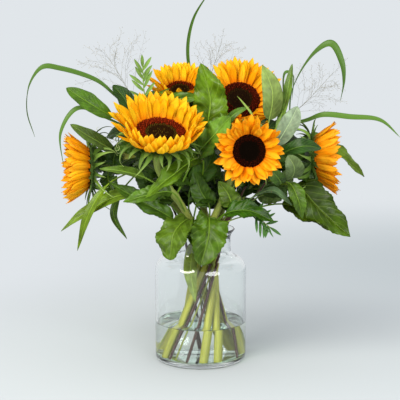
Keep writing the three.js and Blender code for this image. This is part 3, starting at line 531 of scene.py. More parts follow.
def grid_faces(rows, columns, closed=False):
    """Quads over a grid of points, row by row; closed joins each row's end to its start."""
    index = np.arange(rows * columns).reshape(rows, columns)
    following = np.roll(index, -1, axis=1)
    across = columns if closed else columns - 1
    quads = np.stack([index[:-1, :across], following[:-1, :across],
                      following[1:, :across], index[1:, :across]], axis=-1)
    return quads.reshape(-1, 4).tolist()


def place_grid(rows, columns):
    """The place of each point of a grid, across it and along it."""
    along, across = np.meshgrid(np.linspace(0, 1, rows), np.linspace(0, 1, columns), indexing="ij")
    return np.stack([across, along], axis=-1).reshape(-1, 2)


def rings(centres, ways, radii, outline):
    """Rings about points, square to the way along and turning no more than it does. The outline
    has the share of the radius at each of a ring's points."""
    upright = abs(ways[0][2]) > 0.9
    across = np.array([1.0, 0, 0]) if upright else np.array([0, 0, 1.0])
    turns = round_angles(len(outline))
    loops = []
    for centre, way, radius in zip(centres, ways, radii):
        across = unit(across - way * across.dot(way))
        up = np.cross(way, across)
        loops.append(centre + radius * (np.outer(np.cos(turns) * outline, across)
                                        + np.outer(np.sin(turns) * outline, up)))
    return np.array(loops)


def add_tube(skin, centres, ways, radii, sides, tone):
    """A round tube, closed at both ends."""
    loops = rings(centres, ways, radii, np.ones(sides))
    count = len(loops)
    faces = grid_faces(count, sides, closed=True)
    faces.append(list(range(sides))[::-1])
    faces.append([(count - 1) * sides + j for j in range(sides)])
    skin.add(loops, faces, tone, place_grid(count, sides))


def add_thread(skin, points, radius, tone, tip, sides=3):
    """A hair or a fine branch through points, whose tip is a share of its radius."""
    points = np.asarray(points, float)
    ways = unit(np.gradient(points, axis=0))
    add_tube(skin, points, ways, radius * np.linspace(1, tip, len(points)), sides, tone)


def add_blade(skin, front, normals, thickness, tone, places):
    """A thin closed blade: a grid of points, its twin underneath, which comes near it at the
    sides, and the rim between them."""
    rows, columns = front.shape[:2]
    u = np.linspace(0, 1, columns)
    depth = thickness * (0.25 + 0.75 * np.minimum(1, 16 * u * (1 - u)))
    under = front - normals * depth[None, :, None]
    top = grid_faces(rows, columns)
    count = rows * columns
    bottom = [[i + count for i in reversed(face)] for face in top]
    index = np.arange(count).reshape(rows, columns)
    edge = np.concatenate([index[0, ::-1], index[1:, 0], index[-1, 1:], index[-2:0:-1, -1]]).tolist()
    rim = [[here + count, ahead + count, ahead, here] for here, ahead in zip(edge, edge[1:] + edge[:1])]
    tones = np.broadcast_to(np.asarray(tone, float)[..., :3], (count, 3))
    skin.add(np.concatenate([front.reshape(-1, 3), under.reshape(-1, 3)]), top + bottom + rim,
             np.concatenate([tones, tones]), np.concatenate([places, places]))


def lathe(profile, segments):
    """Rings of a body of revolution about Z, one for each [radius, height] of its profile."""
    turns = round_angles(segments)
    profile = np.asarray(profile, float)
    return np.stack([np.outer(profile[:, 0], np.cos(turns)), np.outer(profile[:, 0], np.sin(turns)),
                     np.repeat(profile[:, 1:], segments, axis=1)], axis=-1)


def add_lathed(skin, loops, tone):
    """A turned body's rings, which start and end on the axis, joined up."""
    skin.add(loops, grid_faces(len(loops), loops.shape[1], closed=True), tone)


def arc(centre_r, centre_z, radius, start, end, steps):
    """Points of a profile's round stretch, between two angles in degrees."""
    turns = np.radians(np.linspace(start, end, steps + 1))
    return [[centre_r + radius * math.cos(a), centre_z + radius * math.sin(a)] for a in turns]


# ---------------------------------------------------------------------------------------------
# Stems
# ---------------------------------------------------------------------------------------------

RING_STEP = 6
# A swelling at a knot, as shares of the neck's radius and of the stem's length.
KNOT = {"swell": 0.28, "span": 0.008}
# Below the first height a stem has its foot's tone, and from there it takes its own over a span.
FOOT_TONE = {"up_to": 190, "over": 90}
# The cut end: the pith's share of the radius, and how far its edge and its middle are hollow.
CUT = {"pith": 0.62, "edge": 1.2, "middle": 1.6, "tone": "#d8dcb4"}
# Bristles stand on a sunflower's stem from a share of its length on.
BRISTLES = {"start": 0.33, "end": 0.99, "count": 260, "length": 1.5, "radius": 0.09, "tone": "#c4cf9f"}


def add_stem(skin, line, size, tone, foot_tone, knots=(), seed=0):
    """A stem's skin, with its foot cut level, soft ridges along it and a swelling at each knot."""
    sides, flute = size["sides"], size["flute"]
    count = max(40, int(line.length() / RING_STEP))
    t = np.linspace(0, 1, count)
    radii = size["foot"] + (size["neck"] - size["foot"]) * t
    for knot in knots:
        radii = radii + size["neck"] * KNOT["swell"] * np.exp(-((t - knot) / KNOT["span"]) ** 2)
    radii = radii * (1 + size["rough"] * np.array([jitter(i, seed) for i in range(count)]))
    turns = round_angles(sides)
    ridges = 1 + flute * np.cos(5 * turns) + flute * 0.6 * np.cos(9 * turns + 1)
    loops = rings(line.at(t), line.way(t), radii, ridges)
    loops[0, :, 2] = STEM_FOOT_Z
    mix = np.clip((loops[..., 2] - FOOT_TONE["up_to"]) / FOOT_TONE["over"], 0, 1)[..., None]
    tones = (tone_of(foot_tone) * (1 - mix) + tone_of(tone) * mix).reshape(-1, 3)
    faces = grid_faces(count, sides, closed=True)
    faces.append([(count - 1) * sides + j for j in range(sides)])
    skin.add(loops, faces, tones, place_grid(count, sides))
    middle = loops[0].mean(axis=0)
    pith = middle + (loops[0] - middle) * CUT["pith"]
    cut = np.concatenate([loops[0], pith, pith + [0, 0, CUT["edge"]], [middle + [0, 0, CUT["middle"]]]])
    ring = grid_faces(3, sides, closed=True)
    end = [[j + 2 * sides, (j + 1) % sides + 2 * sides, 3 * sides] for j in range(sides)]
    skin.add(cut, ring + end, tone_of(CUT["tone"]))


def add_bristles(skin, line, seed):
    """Short stiff hairs that stand off a sunflower's stem."""
    start, end, count = BRISTLES["start"], BRISTLES["end"], BRISTLES["count"]
    for i in range(count):
        t = start + (end - start) * (i + 0.5 * jitter(i, seed)) / count
        centre, way = line.at(t)[0], line.way(t)[0]
        turn = i * GOLDEN_ANGLE + jitter(i, seed + 1)
        side = unit(np.cross(way, [0.3, 0.5, 0.81]))
        out = side * math.cos(turn) + np.cross(way, side) * math.sin(turn)
        radius = STEM["foot"] + (STEM["neck"] - STEM["foot"]) * t
        root = centre + out * radius * 0.96
        bent = unit(out + way * 0.35 * jitter(i, seed + 2))
        tip = root + bent * BRISTLES["length"] * (1 + 0.4 * jitter(i, seed + 3))
        points = [root, (root + tip) / 2, tip]
        add_thread(skin, points, BRISTLES["radius"], tone_of(BRISTLES["tone"]), tip=0.1)


# ---------------------------------------------------------------------------------------------
# Leaves
# ---------------------------------------------------------------------------------------------

TEETH_ALONG = 15
BLADE_THICKNESS = 0.45
# A leaf's tone in the layout is the one that shows in the light; its own is this share of it.
UNLIT = [0.6, 0.64, 0.42]
# Stalks and midribs are lighter and yellower than their leaf.
STALK_LIGHTER = {"share": 1.3, "more": [0.03, 0.04, 0.0]}
# Leaves inside the bunch are dark greens: partly their own colour, partly painted shade.
INNER_GREENS_AND_SHADE = ["#35521a", "#44641f", "#2c461a", "#4a6a24", "#3a5426"]


def spread(rise, fall, s):
    """Width of a leaf's blade at s, from 0 to 1 of its greatest."""
    widest = rise / (rise + fall)
    peak = widest ** rise * (1 - widest) ** fall
    return np.clip(s, 0, 1) ** rise * np.clip(1 - s, 0, 1) ** fall / peak


def add_leaf(blades, stalks, line, entry, seed, rows=40, columns=17):
    """A leaf with its stalk and midrib, its veins pressed in and the fields between them full."""
    form, width = entry["form"], entry["width"]
    curve = Line([line.at(entry["at"])[0], *entry["rib"]])
    start = 1 / len(entry["rib"])
    length = curve.length() * (1 - start)
    sideways = unit(np.cross(curve.way((1 + start) / 2)[0], unit(entry["looks"])))
    # s goes along the blade from 0 to 1, and u across it from -1 to 1.
    s = np.linspace(0, 1, rows)[:, None]
    u = np.linspace(-1, 1, columns)[None, :]
    out = np.abs(u)
    centre, _, across, normal = rib_frame(curve, start + s[:, 0] * (1 - start), sideways)
    half = width / 2 * spread(form["rise"], entry["fall"], s)
    half[0] = max(half[0], 1.0)

    # Its outline: teeth that point to the tip, on edges that swing a little.
    teeth = np.where(out > 0.95, form["teeth"] * (2 * (s * TEETH_ALONG % 1) - 0.6), 0)
    swing = 0.05 * np.sin(s * 8 + seed + u * 2.5) * u ** 2
    offset = half * u * (1 + teeth + swing)

    # Its relief, first in shares of its half width: the fold, more on one side than on the other,
    # the waves of its edges, the bulges of its fields, the crimped rim, and the rim that droops.
    crumple = 0.5 * form["crumple"] * entry["crumpled"]
    fold = form["fold"] * out ** 1.25 * (1 + 0.5 * np.sin(s * 4 + seed * 1.3) * np.sign(u))
    wave = entry["wave"] * np.sin(s * 11 + u * 1.3) * out ** 1.5
    bulge = crumple * out * (1 - out) * np.sin(s * 9 + seed * 3.1 + u * 4)
    crimp = crumple * u ** 2 * np.sin(s * 19 + seed * 2.1 + u * 1.7)
    droop = 0.12 * np.clip(out - 0.7, 0, 1) * (1 + np.sin(s * 5 + seed))
    phase = (s - 0.9 * np.abs(offset) / length) * form["veins"]
    full = np.abs(np.sin(np.pi * phase)) ** 0.7 * np.minimum(1, 3 * out)
    height = half * (fold + wave + bulge + crimp - droop)
    height = height + width * form["vein_depth"] * (full - 0.5) * (1 - s ** 4)
    height = height - 0.02 * width * np.exp(-(u * 9) ** 2) + 0.2
    front = centre[:, None] + across[:, None] * offset[..., None] + normal[:, None] * height[..., None]

    # Its colour: painted shade darkens the veins' grooves against the full fields, and one half of it is
    # paler than the other.
    tone = tone_of(entry["tone"]) * UNLIT
    half_paler = 0.12 * jitter(seed, 3) if entry["half_paler"] is None else entry["half_paler"]
    paler = 1 + 0.12 * (full - 0.5) + 0.16 * np.sin(s * 4 + seed) + half_paler * u
    paler = paler + entry["brighter_tip"] * s
    tones = np.clip(tone * paler[..., None], 0, 1).reshape(-1, 3)
    add_blade(blades, front, np.repeat(normal[:, None], columns, axis=1), BLADE_THICKNESS, tones,
              place_grid(rows, columns))

    # Its stalk, which goes on as the midrib and sinks into the underside.
    t = np.concatenate([np.linspace(0, start, 8)[:-1], start + (1 - start) * np.linspace(0, 0.97, 22)])
    s = np.clip((t - start) / (1 - start), 0, 1)
    radii = np.where(t < start, 1.35, 1.15 * (1 - s) ** 0.8 + 0.12)
    centre, along, _, normal = rib_frame(curve, t, sideways)
    pale = np.clip(tone * STALK_LIGHTER["share"] + STALK_LIGHTER["more"], 0, 1)
    add_tube(stalks, centre - normal * (s ** 0.3 * 0.35)[:, None], along, radii, 8, pale)


def inner_leaves(line, kind, seed, count):
    """Small leaves inside the bunch, which grow sideways and back from a stem."""
    leaves = []
    for i in range(count):
        at = 0.38 + 0.48 * (i + 0.4 * jitter(i, seed)) / count
        root = line.at(at)[0]
        if root[2] < 250:
            continue
        turn = math.radians(90 + (1 if i % 2 else -1) * (62 + 42 * jitter(i, seed + 1)))
        out = np.array([math.cos(turn), math.sin(turn), 0])
        size = 60 + 14 * jitter(i, seed + 2)
        climb = 0.35 + 0.4 * jitter(i, seed + 3)
        rib = [root + out * size * 0.14 + [0, 0, size * 0.16 * climb],
               root + out * size * 0.6 + [0, 0, size * (0.6 * climb + 0.06)],
               root + out * size + [0, 0, size * (climb * 0.8 - 0.1)]]
        leaves.append(leaf(kind, at=at, width=size * 0.56, tone=INNER_GREENS_AND_SHADE[i % 5],
                           looks=[-0.2 * out[0], -0.75, 0.6], wave=0.12, rib=rib))
    return leaves


# ---------------------------------------------------------------------------------------------
# Sunflower head, in its own frame: the disc looks along +Z and the petals' roots lie at z = 0
# ---------------------------------------------------------------------------------------------

PETAL = {"rows": 18, "columns": 9, "thickness": 0.35, "pleats": 0.5, "root_under_disc": 3.4}
PETAL_ROOTS = ["#ff9e04", "#fb8c00"]
PETAL_BODIES = ["#ffdc22", "#ffd214", "#ffc40a"]
PETAL_TIP = "#ffdc38"
# Rows of petals round a disc: how many as a share of the crown's own, where a row starts between
# two of its petals, how unevenly its petals stand, and its height, rise, length and width against
# theirs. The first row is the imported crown's.
PETAL_ROWS = [
    {"share": 1.2, "shift": 0.5, "uneven": 0, "height": 0, "rise": 0, "length": 1.03, "width": 0.96,
     "first": 0},
    {"share": 1.2, "shift": 0.02, "uneven": 0.16, "height": -0.9, "rise": -5, "length": 0.98,
     "width": 0.94, "first": 100},
    {"share": 0.7, "shift": 0.3, "uneven": 0.16, "height": 0.9, "rise": 17, "length": 0.74,
     "width": 0.8, "first": 200},
]
# Every other petal of a row stands steeper and higher, and is shorter.
ODD_PETAL = {"rise": 15, "height": 0.9, "length": 0.92}
DISC_SIDES = 40
# Where the outer band of a disc's florets starts, as a share of its radius.
BAND_FROM = 0.62
# Florets on a disc whose radius is the last number.
FLORETS = {"count": 330, "on": 30}
BRACT = {"rows": 16, "columns": 5, "width": 11, "thickness": 0.6}
BACK_SIDES = 48
CURL_TONE = "#b9c684"


def head_place(flower):
    """A function that takes points, or directions, from the head's frame to where the head is."""
    to_looks = Vector((0, 0, 1)).rotation_difference(Vector(unit(flower["looks"])))
    turn = np.array(to_looks.to_matrix())
    centre = np.array(flower["disc"], float)

    def place(points, turn_only=False):
        turned = np.asarray(points, float) @ turn.T
        return turned if turn_only else turned + centre

    return place


def petal_width(s):
    """A ray petal's width along it: narrow at its claw, broad past the middle and pointed."""
    claw = 0.72 + 0.28 * np.sin(np.clip(s / 0.5, 0, 1) * np.pi / 2)
    point = np.clip((1 - s) / 0.36, 0, 1)
    return claw * np.sin(point * np.pi / 2) ** 0.92


def bract_width(s):
    """A bract's width along it: broad at its foot, drawn out to a fine tip."""
    return (1 - s) ** 0.9 * (1 - 0.35 * s) * 1.05 + 0.02


def ray(turn, radius, height, length, rise, width, shape, rows, columns, lift=0.0, twist=0.0,
        pleats=0.0, sway=0.0, hook=0.0, wrinkle=0.0, seed=0):
    """A petal or bract that leaves the head at one angle of rise and ends at another. Its edges
    lift, it twists, it sways to one side and its tip hooks up or down; pleats run along it and
    wrinkles across it. Gives its points and the ways off its face."""
    s = np.linspace(0, 1, rows)[:, None]
    u = np.linspace(-1, 1, columns)[None, :]
    up = np.array([0, 0, 1])
    out = np.array([math.cos(turn), math.sin(turn), 0])
    side = np.array([math.sin(turn), -math.cos(turn), 0])
    angle = np.radians(rise[0] + (rise[1] - rise[0]) * s + hook * s ** 3)
    along = out * np.cos(angle) + up * np.sin(angle)
    steps = (along[1:] + along[:-1]) / 2 * length / (rows - 1)
    centre = np.vstack([[0, 0, 0], np.cumsum(steps, axis=0)]) + out * radius + up * height
    centre = centre + side * (sway * length * s ** 2)
    sideways = side + up * (twist * s)
    across = unit(sideways - along * np.sum(along * sideways, axis=1, keepdims=True))
    normal = np.cross(across, along)
    half = width / 2 * shape(s)
    edges = half * lift * np.abs(u) ** 1.5 * np.minimum(1, s * 3)
    grooves = pleats * np.cos(u * 2 * np.pi) * np.sin(np.pi * s) ** 0.5
    creases = wrinkle * np.sin(s * 13 + u * 2.2 + seed) * s
    front = (centre[:, None] + across[:, None] * (half * u)[..., None]
             + normal[:, None] * (edges + grooves + creases)[..., None])
    return front, np.repeat(normal[:, None], columns, axis=1)


def petal_tones(rows, columns, root, body, tip, shade):
    """A petal's colour along it, with a little painted shade following the relief of its pleats."""
    s = np.linspace(0, 1, rows)[:, None, None]
    u = np.linspace(-1, 1, columns)[None, :, None]
    near = np.clip(1 - s / 0.45, 0, 1) ** 1.4
    far = np.clip((s - 0.7) / 0.3, 0, 1) ** 1.5
    tones = tone_of(body) * (1 - near) * (1 - far) + tone_of(root) * near * (1 - far) + tone_of(tip) * far
    # Painted shade: the pleats' relief darkens the colour a little.
    pleat_shade = 1 - 0.1 * (1 + np.cos(u * 2 * np.pi)) / 2
    return np.clip(tones * shade * pleat_shade, 0, 1).reshape(-1, 3)


def add_petal(skin, flower, place, row, turn, k):
    """One ray petal, whose own number k settles how it differs from the others."""
    seed, loose, odd = flower["seed"], flower["loose"], k % 2
    length = flower["petal_length"] * (1 + 0.09 * (0.5 + loose / 2) * jitter(k, seed + 20))
    length *= ODD_PETAL["length"] if odd else 1
    length *= 1 - flower["short_side"] * math.cos(turn)
    width = flower["petal_width"] * (1 + 0.08 * jitter(k, seed + 10)) * row["width"] * flower["slim"]
    lean_turn, lean = flower["lean"]
    raised = row["rise"] + ODD_PETAL["rise"] * odd + lean * math.cos(turn - math.radians(lean_turn))
    ahead = max(0, -math.sin(turn)) ** 1.5
    rise = [flower["cup"][0] + raised + flower["front"][0] * ahead + 3 * jitter(k, seed + 40),
            flower["cup"][1] + raised + flower["front"][1] * ahead + 6 * jitter(k, seed + 60)]
    front, normals = ray(
        turn, flower["disc_radius"] + 0.4 - flower["inset"],
        -0.6 + ODD_PETAL["height"] * odd + row["height"],
        length * row["length"] + PETAL["root_under_disc"], rise, width, petal_width,
        PETAL["rows"], PETAL["columns"], lift=0.2 + 0.25 * loose * abs(jitter(k, seed + 70)),
        twist=(0.16 + 0.3 * loose) * jitter(k, seed + 80), pleats=PETAL["pleats"],
        sway=0.08 * loose * jitter(k, seed + 33), hook=16 * loose * jitter(k, seed + 51),
        wrinkle=0.3 * loose, seed=k * 1.7 + seed)
    warm = jitter(k, seed + 91)
    body = PETAL_BODIES[0 if warm > 0.3 else 1 if warm > -0.4 else 2]
    tones = petal_tones(PETAL["rows"], PETAL["columns"], PETAL_ROOTS[odd], body, PETAL_TIP,
                        0.98 + 0.06 * jitter(k, seed + 17))
    # More orange petals: partly the head's own colour, partly painted shade.
    tones = tones * [1, flower["deeper_orange_and_shade"], 1]
    add_blade(skin, place(front), place(normals, turn_only=True), PETAL["thickness"], tones,
              place_grid(PETAL["rows"], PETAL["columns"]))


def add_petals(skin, flower, place):
    """Rows of petals round the disc."""
    for row, fullness in zip(PETAL_ROWS, flower["fullness"]):
        count = round(flower["petals"] * row["share"] * fullness)
        for i in range(count):
            k = row["first"] + i
            uneven = row["uneven"] * jitter(k, flower["seed"] + 3)
            add_petal(skin, flower, place, row, 2 * np.pi / count * (i + row["shift"] + uneven), k)


def disc_height(share):
    """Height of the disc's face at a share of its radius, before its florets."""
    return np.interp(share, [0, 0.22, 0.42, 0.6, 0.76, 0.9, 1], [3, 3, 2.6, 2.8, 4, 3.6, 1.4])


def floret_tones(flower, share, i):
    """The tones of a floret's body and of its tip: brown in the outer band, where every fourth
    tip is paler, olive in a ring inside it and here and there in the middle."""
    band, ring, middle = flower["disc_tones"]
    if share > BAND_FROM:
        return tone_of(band, 1 + 0.5 * jitter(i, 7)), tone_of(band, 1.7 if i % 4 == 0 else 0.6)
    if 0.5 < share or (share < 0.3 and i % 3 == 0):
        return tone_of(ring, 0.27), tone_of(ring)
    return tone_of(middle), tone_of(middle, 2)


def add_disc(skin, florets, flower, place):
    """The disc: closed florets in spirals at its middle and taller open ones in a band."""
    radius = flower["disc_radius"] + 2.2 - flower["inset"]
    band_tone, _, middle_tone = flower["disc_tones"]
    share = np.linspace(1, 0.02, 14)
    face = np.stack([share * radius, disc_height(share) - 0.4], axis=-1)
    profile = np.vstack([[[0.3, -2.6], [radius - 2.2, -2.6]], face, [[0.01, 2.6]]])
    add_lathed(skin, place(lathe(profile, DISC_SIDES)), tone_of(middle_tone))
    count = int(FLORETS["count"] * (radius / FLORETS["on"]) ** 2)
    for i in range(count):
        r = math.sqrt((i + 0.5) / count)
        turn = i * GOLDEN_ANGLE
        band = r > BAND_FROM
        tall = 2.6 + 0.9 * jitter(i, 4) if band else 1.3 + 0.3 * jitter(i, 5)
        wide = (0.95 if band else 0.85) * radius / 32
        lean = 0.28 * (r - 0.35) + 0.12 * jitter(i, 6)
        out = np.array([math.cos(turn), math.sin(turn), 0])
        base = out * r * radius * 0.97 + [0, 0, float(disc_height(r)) - 0.5]
        top = base + np.array([0, 0, tall * 0.85]) + out * lean * tall
        belly = base * 0.45 + top * 0.55
        tip = top + np.array([0, 0, 0.25 * tall])
        turns = round_angles(6) + turn
        ring = np.stack([np.cos(turns), np.sin(turns), 0 * turns], axis=-1)
        points = np.vstack([base + ring * wide * 0.8, belly + ring * wide, top + ring * wide * 0.7, [tip]])
        faces = grid_faces(3, 6, closed=True) + [[12 + j, 12 + (j + 1) % 6, 18] for j in range(6)]
        body_tone, tip_tone = floret_tones(flower, r, i)
        tones = np.vstack([np.tile(body_tone, (12, 1)), np.tile(tip_tone, (7, 1))])
        florets.add(place(points), faces, tones)
        if band and i % 2 == 0:
            style = np.array([tip + out * reach + [0, 0, up]
                              for reach, up in ((0, -0.3), (0.4, 0.45), (0.8, 0.9))])
            add_thread(florets, place(style), 0.28, tone_of(band_tone, 1.9), tip=0.5)


def add_curl(skin, start, length, seed):
    """The thread that a drawn-out bract ends in, curling as it dries."""
    way = unit([0.7 * jitter(seed, 1), -0.2 + 0.4 * jitter(seed, 2), -1])
    side = unit(np.cross(way, [0, 1, 0.2]))
    count = 16
    turn = 4.5 * np.linspace(0, 1, count) ** 1.5 * (1 if jitter(seed, 3) > 0 else -1)
    steps = way * np.cos(turn)[:, None] + side * np.sin(turn)[:, None]
    points = start + np.cumsum(steps, axis=0) * length / count
    add_thread(skin, points, 0.42, tone_of(CURL_TONE), tip=0.35, sides=5)


def add_back(skin, bracts, flower, place):
    """The green back of the head and its rows of bracts, some behind the petals and some curling."""
    radius, seed, cup = flower["disc_radius"], flower["seed"], flower["cup"]
    rim = radius + 4
    profile = [[0.3, -2.9], [rim - 2.5, -3.1], [rim - 0.4, -4.2], [rim, -6], [rim - 1.5, -8.4],
               [radius * 0.86, -11], [radius * 0.7, -13], [radius * 0.42, -15.8],
               [STEM["neck"] + 1.6, -18.4], [STEM["neck"] + 0.6, -21], [0.3, -21]]
    loops = lathe(profile, BACK_SIDES)
    ridges = 1 + 0.02 * np.cos(13 * round_angles(BACK_SIDES))
    loops[3:9, :, :2] *= ridges[None, :, None]
    # The back's dark green is partly its own and partly painted shade.
    add_lathed(skin, place(loops), tone_of("#40581c"))
    rows, columns = BRACT["rows"], BRACT["columns"]
    for k in range(flower["bracts"]):
        curling = k % 2
        turn = 2 * np.pi / flower["bracts"] * (k + 0.5 + 0.25 * jitter(k, seed + 8))
        length = radius * flower["long_bracts"]
        if curling:
            length *= 1 + 0.38 * jitter(k, seed + 120)
            rise = [-12 + 14 * jitter(k, seed + 9), -62 + 38 * jitter(k, seed + 140)]
        else:
            length *= 0.75 * (1 + 0.15 * jitter(k, seed + 120))
            rise = [cup[0] * 0.5 - 8, cup[0] * 0.4 - 18]
        front, normals = ray(
            turn, rim - 1, -6 - 1.4 * curling, length, rise, BRACT["width"], bract_width, rows, columns,
            lift=0.35, twist=0.8 * jitter(k, seed + 160),
            sway=(0.4 if curling else 0.16) * jitter(k, seed + 21),
            hook=(-130 if curling else 35) * abs(jitter(k, seed + 44)))
        # The bracts' dark greens are partly their own and partly painted shade; they pale towards their tips.
        tone = tone_of("#4c6c1e" if k % 3 else "#6c8c34") * (1 + 0.12 * jitter(k, seed + 2))
        pale = tone_of("#93a85a" if curling else "#64823a")
        s = np.repeat(np.linspace(0, 1, rows) ** 2.5, columns)[:, None]
        add_blade(bracts, place(front), place(normals, turn_only=True), BRACT["thickness"],
                  tone * (1 - s) + pale * s, place_grid(rows, columns))
        if curling and k // 2 < flower["tendrils"]:
            add_curl(bracts, place(front)[-1, columns // 2], radius * 0.5, k + seed)


# ---------------------------------------------------------------------------------------------
# Grass and fine foliage
# ---------------------------------------------------------------------------------------------

STRAP_THICKNESS = 0.3
BRANCHES = {"count": 17, "turn": 137.5}
TWIGLETS = 9
HAIR_TONE = "#94948a"
# Leaflets shorten towards the spray's end, by this share at the last one.
LEAFLET_SHORTER = 0.3


def add_strap(skin, curve, looks, width, tone, rows, columns, lift=0.25, veins=0.0):
    """A narrow leaf that tapers at both ends."""
    sideways = unit(np.cross(curve.way(0.5)[0], unit(looks)))
    s = np.linspace(0, 1, rows)[:, None]
    u = np.linspace(-1, 1, columns)[None, :]
    centre, _, across, normal = rib_frame(curve, s[:, 0], sideways)
    share = 0.22 + 0.78 * np.sin(np.pi * s) ** 0.7
    share = np.where(s > 0.5, share - 0.22 * ((s - 0.5) * 2) ** 2, share)
    half = width / 2 * np.maximum(share, 0.02)
    height = half * lift * np.abs(u) + veins * np.cos(u * 3 * np.pi)
    front = centre[:, None] + across[:, None] * (half * u)[..., None] + normal[:, None] * height[..., None]
    add_blade(skin, front, np.repeat(normal[:, None], columns, axis=1), STRAP_THICKNESS, tone,
              place_grid(rows, columns))


def add_grain(skin, centre, way, length, radius, tone):
    """A small pointed grain."""
    way = unit(way)
    points = centre + way * (np.array([-0.5, -0.2, 0.15, 0.5]) * length)[:, None]
    radii = radius * np.array([0.35, 1, 0.8, 0.1])
    add_tube(skin, points, np.repeat(way[None], 4, axis=0), radii, 5, tone)


def add_branch(hairs, grains, branch, length, frame_ways, i, seed):
    """A branch of a panicle, with fine twiglets along it, every other one forked."""
    up, side, fore = frame_ways
    tone = tone_of(HAIR_TONE)
    points = branch.at(np.linspace(0, 1, 12))
    add_thread(hairs, points, 0.24, tone, tip=0.5)
    add_grain(grains, points[-1], branch.way(1)[0], 2.0, 0.4, tone_of("#8a8474", 1 + 0.3 * jitter(i, 2)))
    for j in range(TWIGLETS):
        t = 0.28 + 0.7 * j / TWIGLETS
        point, way = branch.at(t)[0], branch.way(t)[0]
        angle = j * 2.4 + i
        off = unit(np.cross(way, side)) * math.cos(angle) + unit(np.cross(way, fore)) * math.sin(angle)
        reach = length * (0.26 - 0.12 * t) * (1 + 0.3 * jitter(j, i + seed))
        knee = point + unit(way + off * 0.9) * reach * 0.6
        end = point + unit(way * 0.7 + off * 0.8 + up * 0.15) * reach * 1.2
        add_thread(hairs, [point, knee, end], 0.16, tone, tip=0.6)
        add_grain(grains, end, end - knee, 1.8, 0.36, tone_of("#8f8a7a", 1 + 0.35 * jitter(j, i)))
        if j % 2:
            fork = knee + unit(way - off * 0.5) * reach * 0.5
            add_thread(hairs, [knee, (knee + fork) / 2, fork], 0.14, tone, tip=0.6)
            add_grain(grains, fork, fork - knee, 1.6, 0.32, tone_of("#969080", 1 + 0.3 * jitter(j, i + 3)))


def add_panicle(hairs, grains, base, panicle):
    """An open panicle: hair-fine branches spiral up its spine and end in small dark grains."""
    up = unit(panicle["axis"])
    side = unit(np.cross([0, 1, 0], up))
    fore = np.cross(up, side)
    seed, reach, width = panicle["seed"], panicle["reach"], panicle["spread"]
    root = base + up * 0.6
    spine = [root + up * reach * t + side * 1.2 * math.sin(4 * t) for t in np.linspace(0, 1, 14)]
    add_thread(hairs, spine, 0.55, tone_of(HAIR_TONE), tip=0.35, sides=5)
    for i in range(BRANCHES["count"]):
        start = 0.04 + 0.78 * i / BRANCHES["count"]
        turn = math.radians(i * BRANCHES["turn"])
        out = side * math.cos(turn) + fore * math.sin(turn)
        length = width * (1.1 - 0.6 * start) * (1 + 0.3 * jitter(i, seed))
        foot = root + up * reach * start
        bend = foot + out * length * 0.42 + up * length * 0.5
        tip = foot + out * length + up * length * (0.8 + 0.3 * jitter(i, seed + 5))
        branch = Line([foot, bend, tip + unit(tip - bend) * 2.0])
        add_branch(hairs, grains, branch, length, (up, side, fore), i, seed)


def add_leaflets(skin, line, spray):
    """Narrow leaflets in pairs, with a finer one at the foot of each where the spray has them."""
    facing = unit(spray["looks"])
    count = spray["leaflets"]
    for i in range(count):
        share = i / (count - 1)
        t = spray["from"] + (0.995 - spray["from"]) * share
        root, along = line.at(t)[0], line.way(t)[0]
        aside = unit(np.cross(along, facing))
        heading = unit(aside * spray["open"] * (1 if i % 2 else -1) + along * (0.7 + 0.3 * jitter(i, 41)))
        if share == 1:
            heading = along
        length = spray["length"] * (1 - LEAFLET_SHORTER * share) * (1 + 0.12 * jitter(i, 43))
        points = [root + heading * s * length + facing * s * (1 - s) * 6 for s in (0, 0.5, 1)]
        tone = tone_of(spray["tone"], 1 + 0.15 * jitter(i, 31))
        add_strap(skin, Line(points), facing, spray["width"], tone, 16, 5, lift=0.15)
        if spray["small_width"]:
            foot = line.at(t - 0.012)[0]
            near = aside * 0.5 * (1 + 0.6 * jitter(i, 47)) + along * 0.9 + facing * 0.4
            middle = foot + unit(near) * length * 0.4
            end = foot + unit(near + along * 0.3) * length * (0.7 + 0.25 * jitter(i, 49))
            add_strap(skin, Line([foot, middle, end]), facing, spray["small_width"], tone, 12, 5, lift=0.1)


# ---------------------------------------------------------------------------------------------
# Materials. A skin's own tone comes from its mesh, and a pattern's size is in millimetres.
# ---------------------------------------------------------------------------------------------

# A colour Mix has its share in input 0, its colours in 6 and 7 and its result in output 2. A map
# range has its value in input 0, the range it comes from in 1 and 2 and the one it goes to in 3 and 4.
BLEND = {"data_type": "RGBA", "blend_type": "MIX"}
TIMES = {"data_type": "RGBA", "blend_type": "MULTIPLY"}
SMOOTH = {"interpolation_type": "SMOOTHSTEP"}
# A leaf's side veins run forward by the slant, as a share of its length, for each width they go out.
# A side vein has faded at side, as a share of the way to the next one. The midrib is even up to rib
# and has faded at rib_fades, as shares of the leaf's width. Veins take on a share of their colour.
VEIN = {"slant": 0.62, "side": 0.07, "side_strength": 0.75, "rib": 0.012, "rib_fades": 0.04,
        "colour_share": 0.2}
# How dark and how light a leaf's mottling and its wider patches make it, and the patches' size.
MOTTLE = {"dark": 0.82, "light": 1.16}
PATCH = {"dark": 0.7, "light": 1.24, "size": 16.13}
# The relief of a leaf's net and of the other skins' grain, in millimetres.
NET_DEPTH = 0.4
GRAIN_DEPTH = 0.3


def per_metre(size):
    """How often a pattern of a size in millimetres repeats in a metre."""
    return 1 / (size * MM)


def new_material(name):
    material = bpy.data.materials.new(name)
    material.use_nodes = True
    tree = material.node_tree
    tree.nodes.clear()
    return material, tree


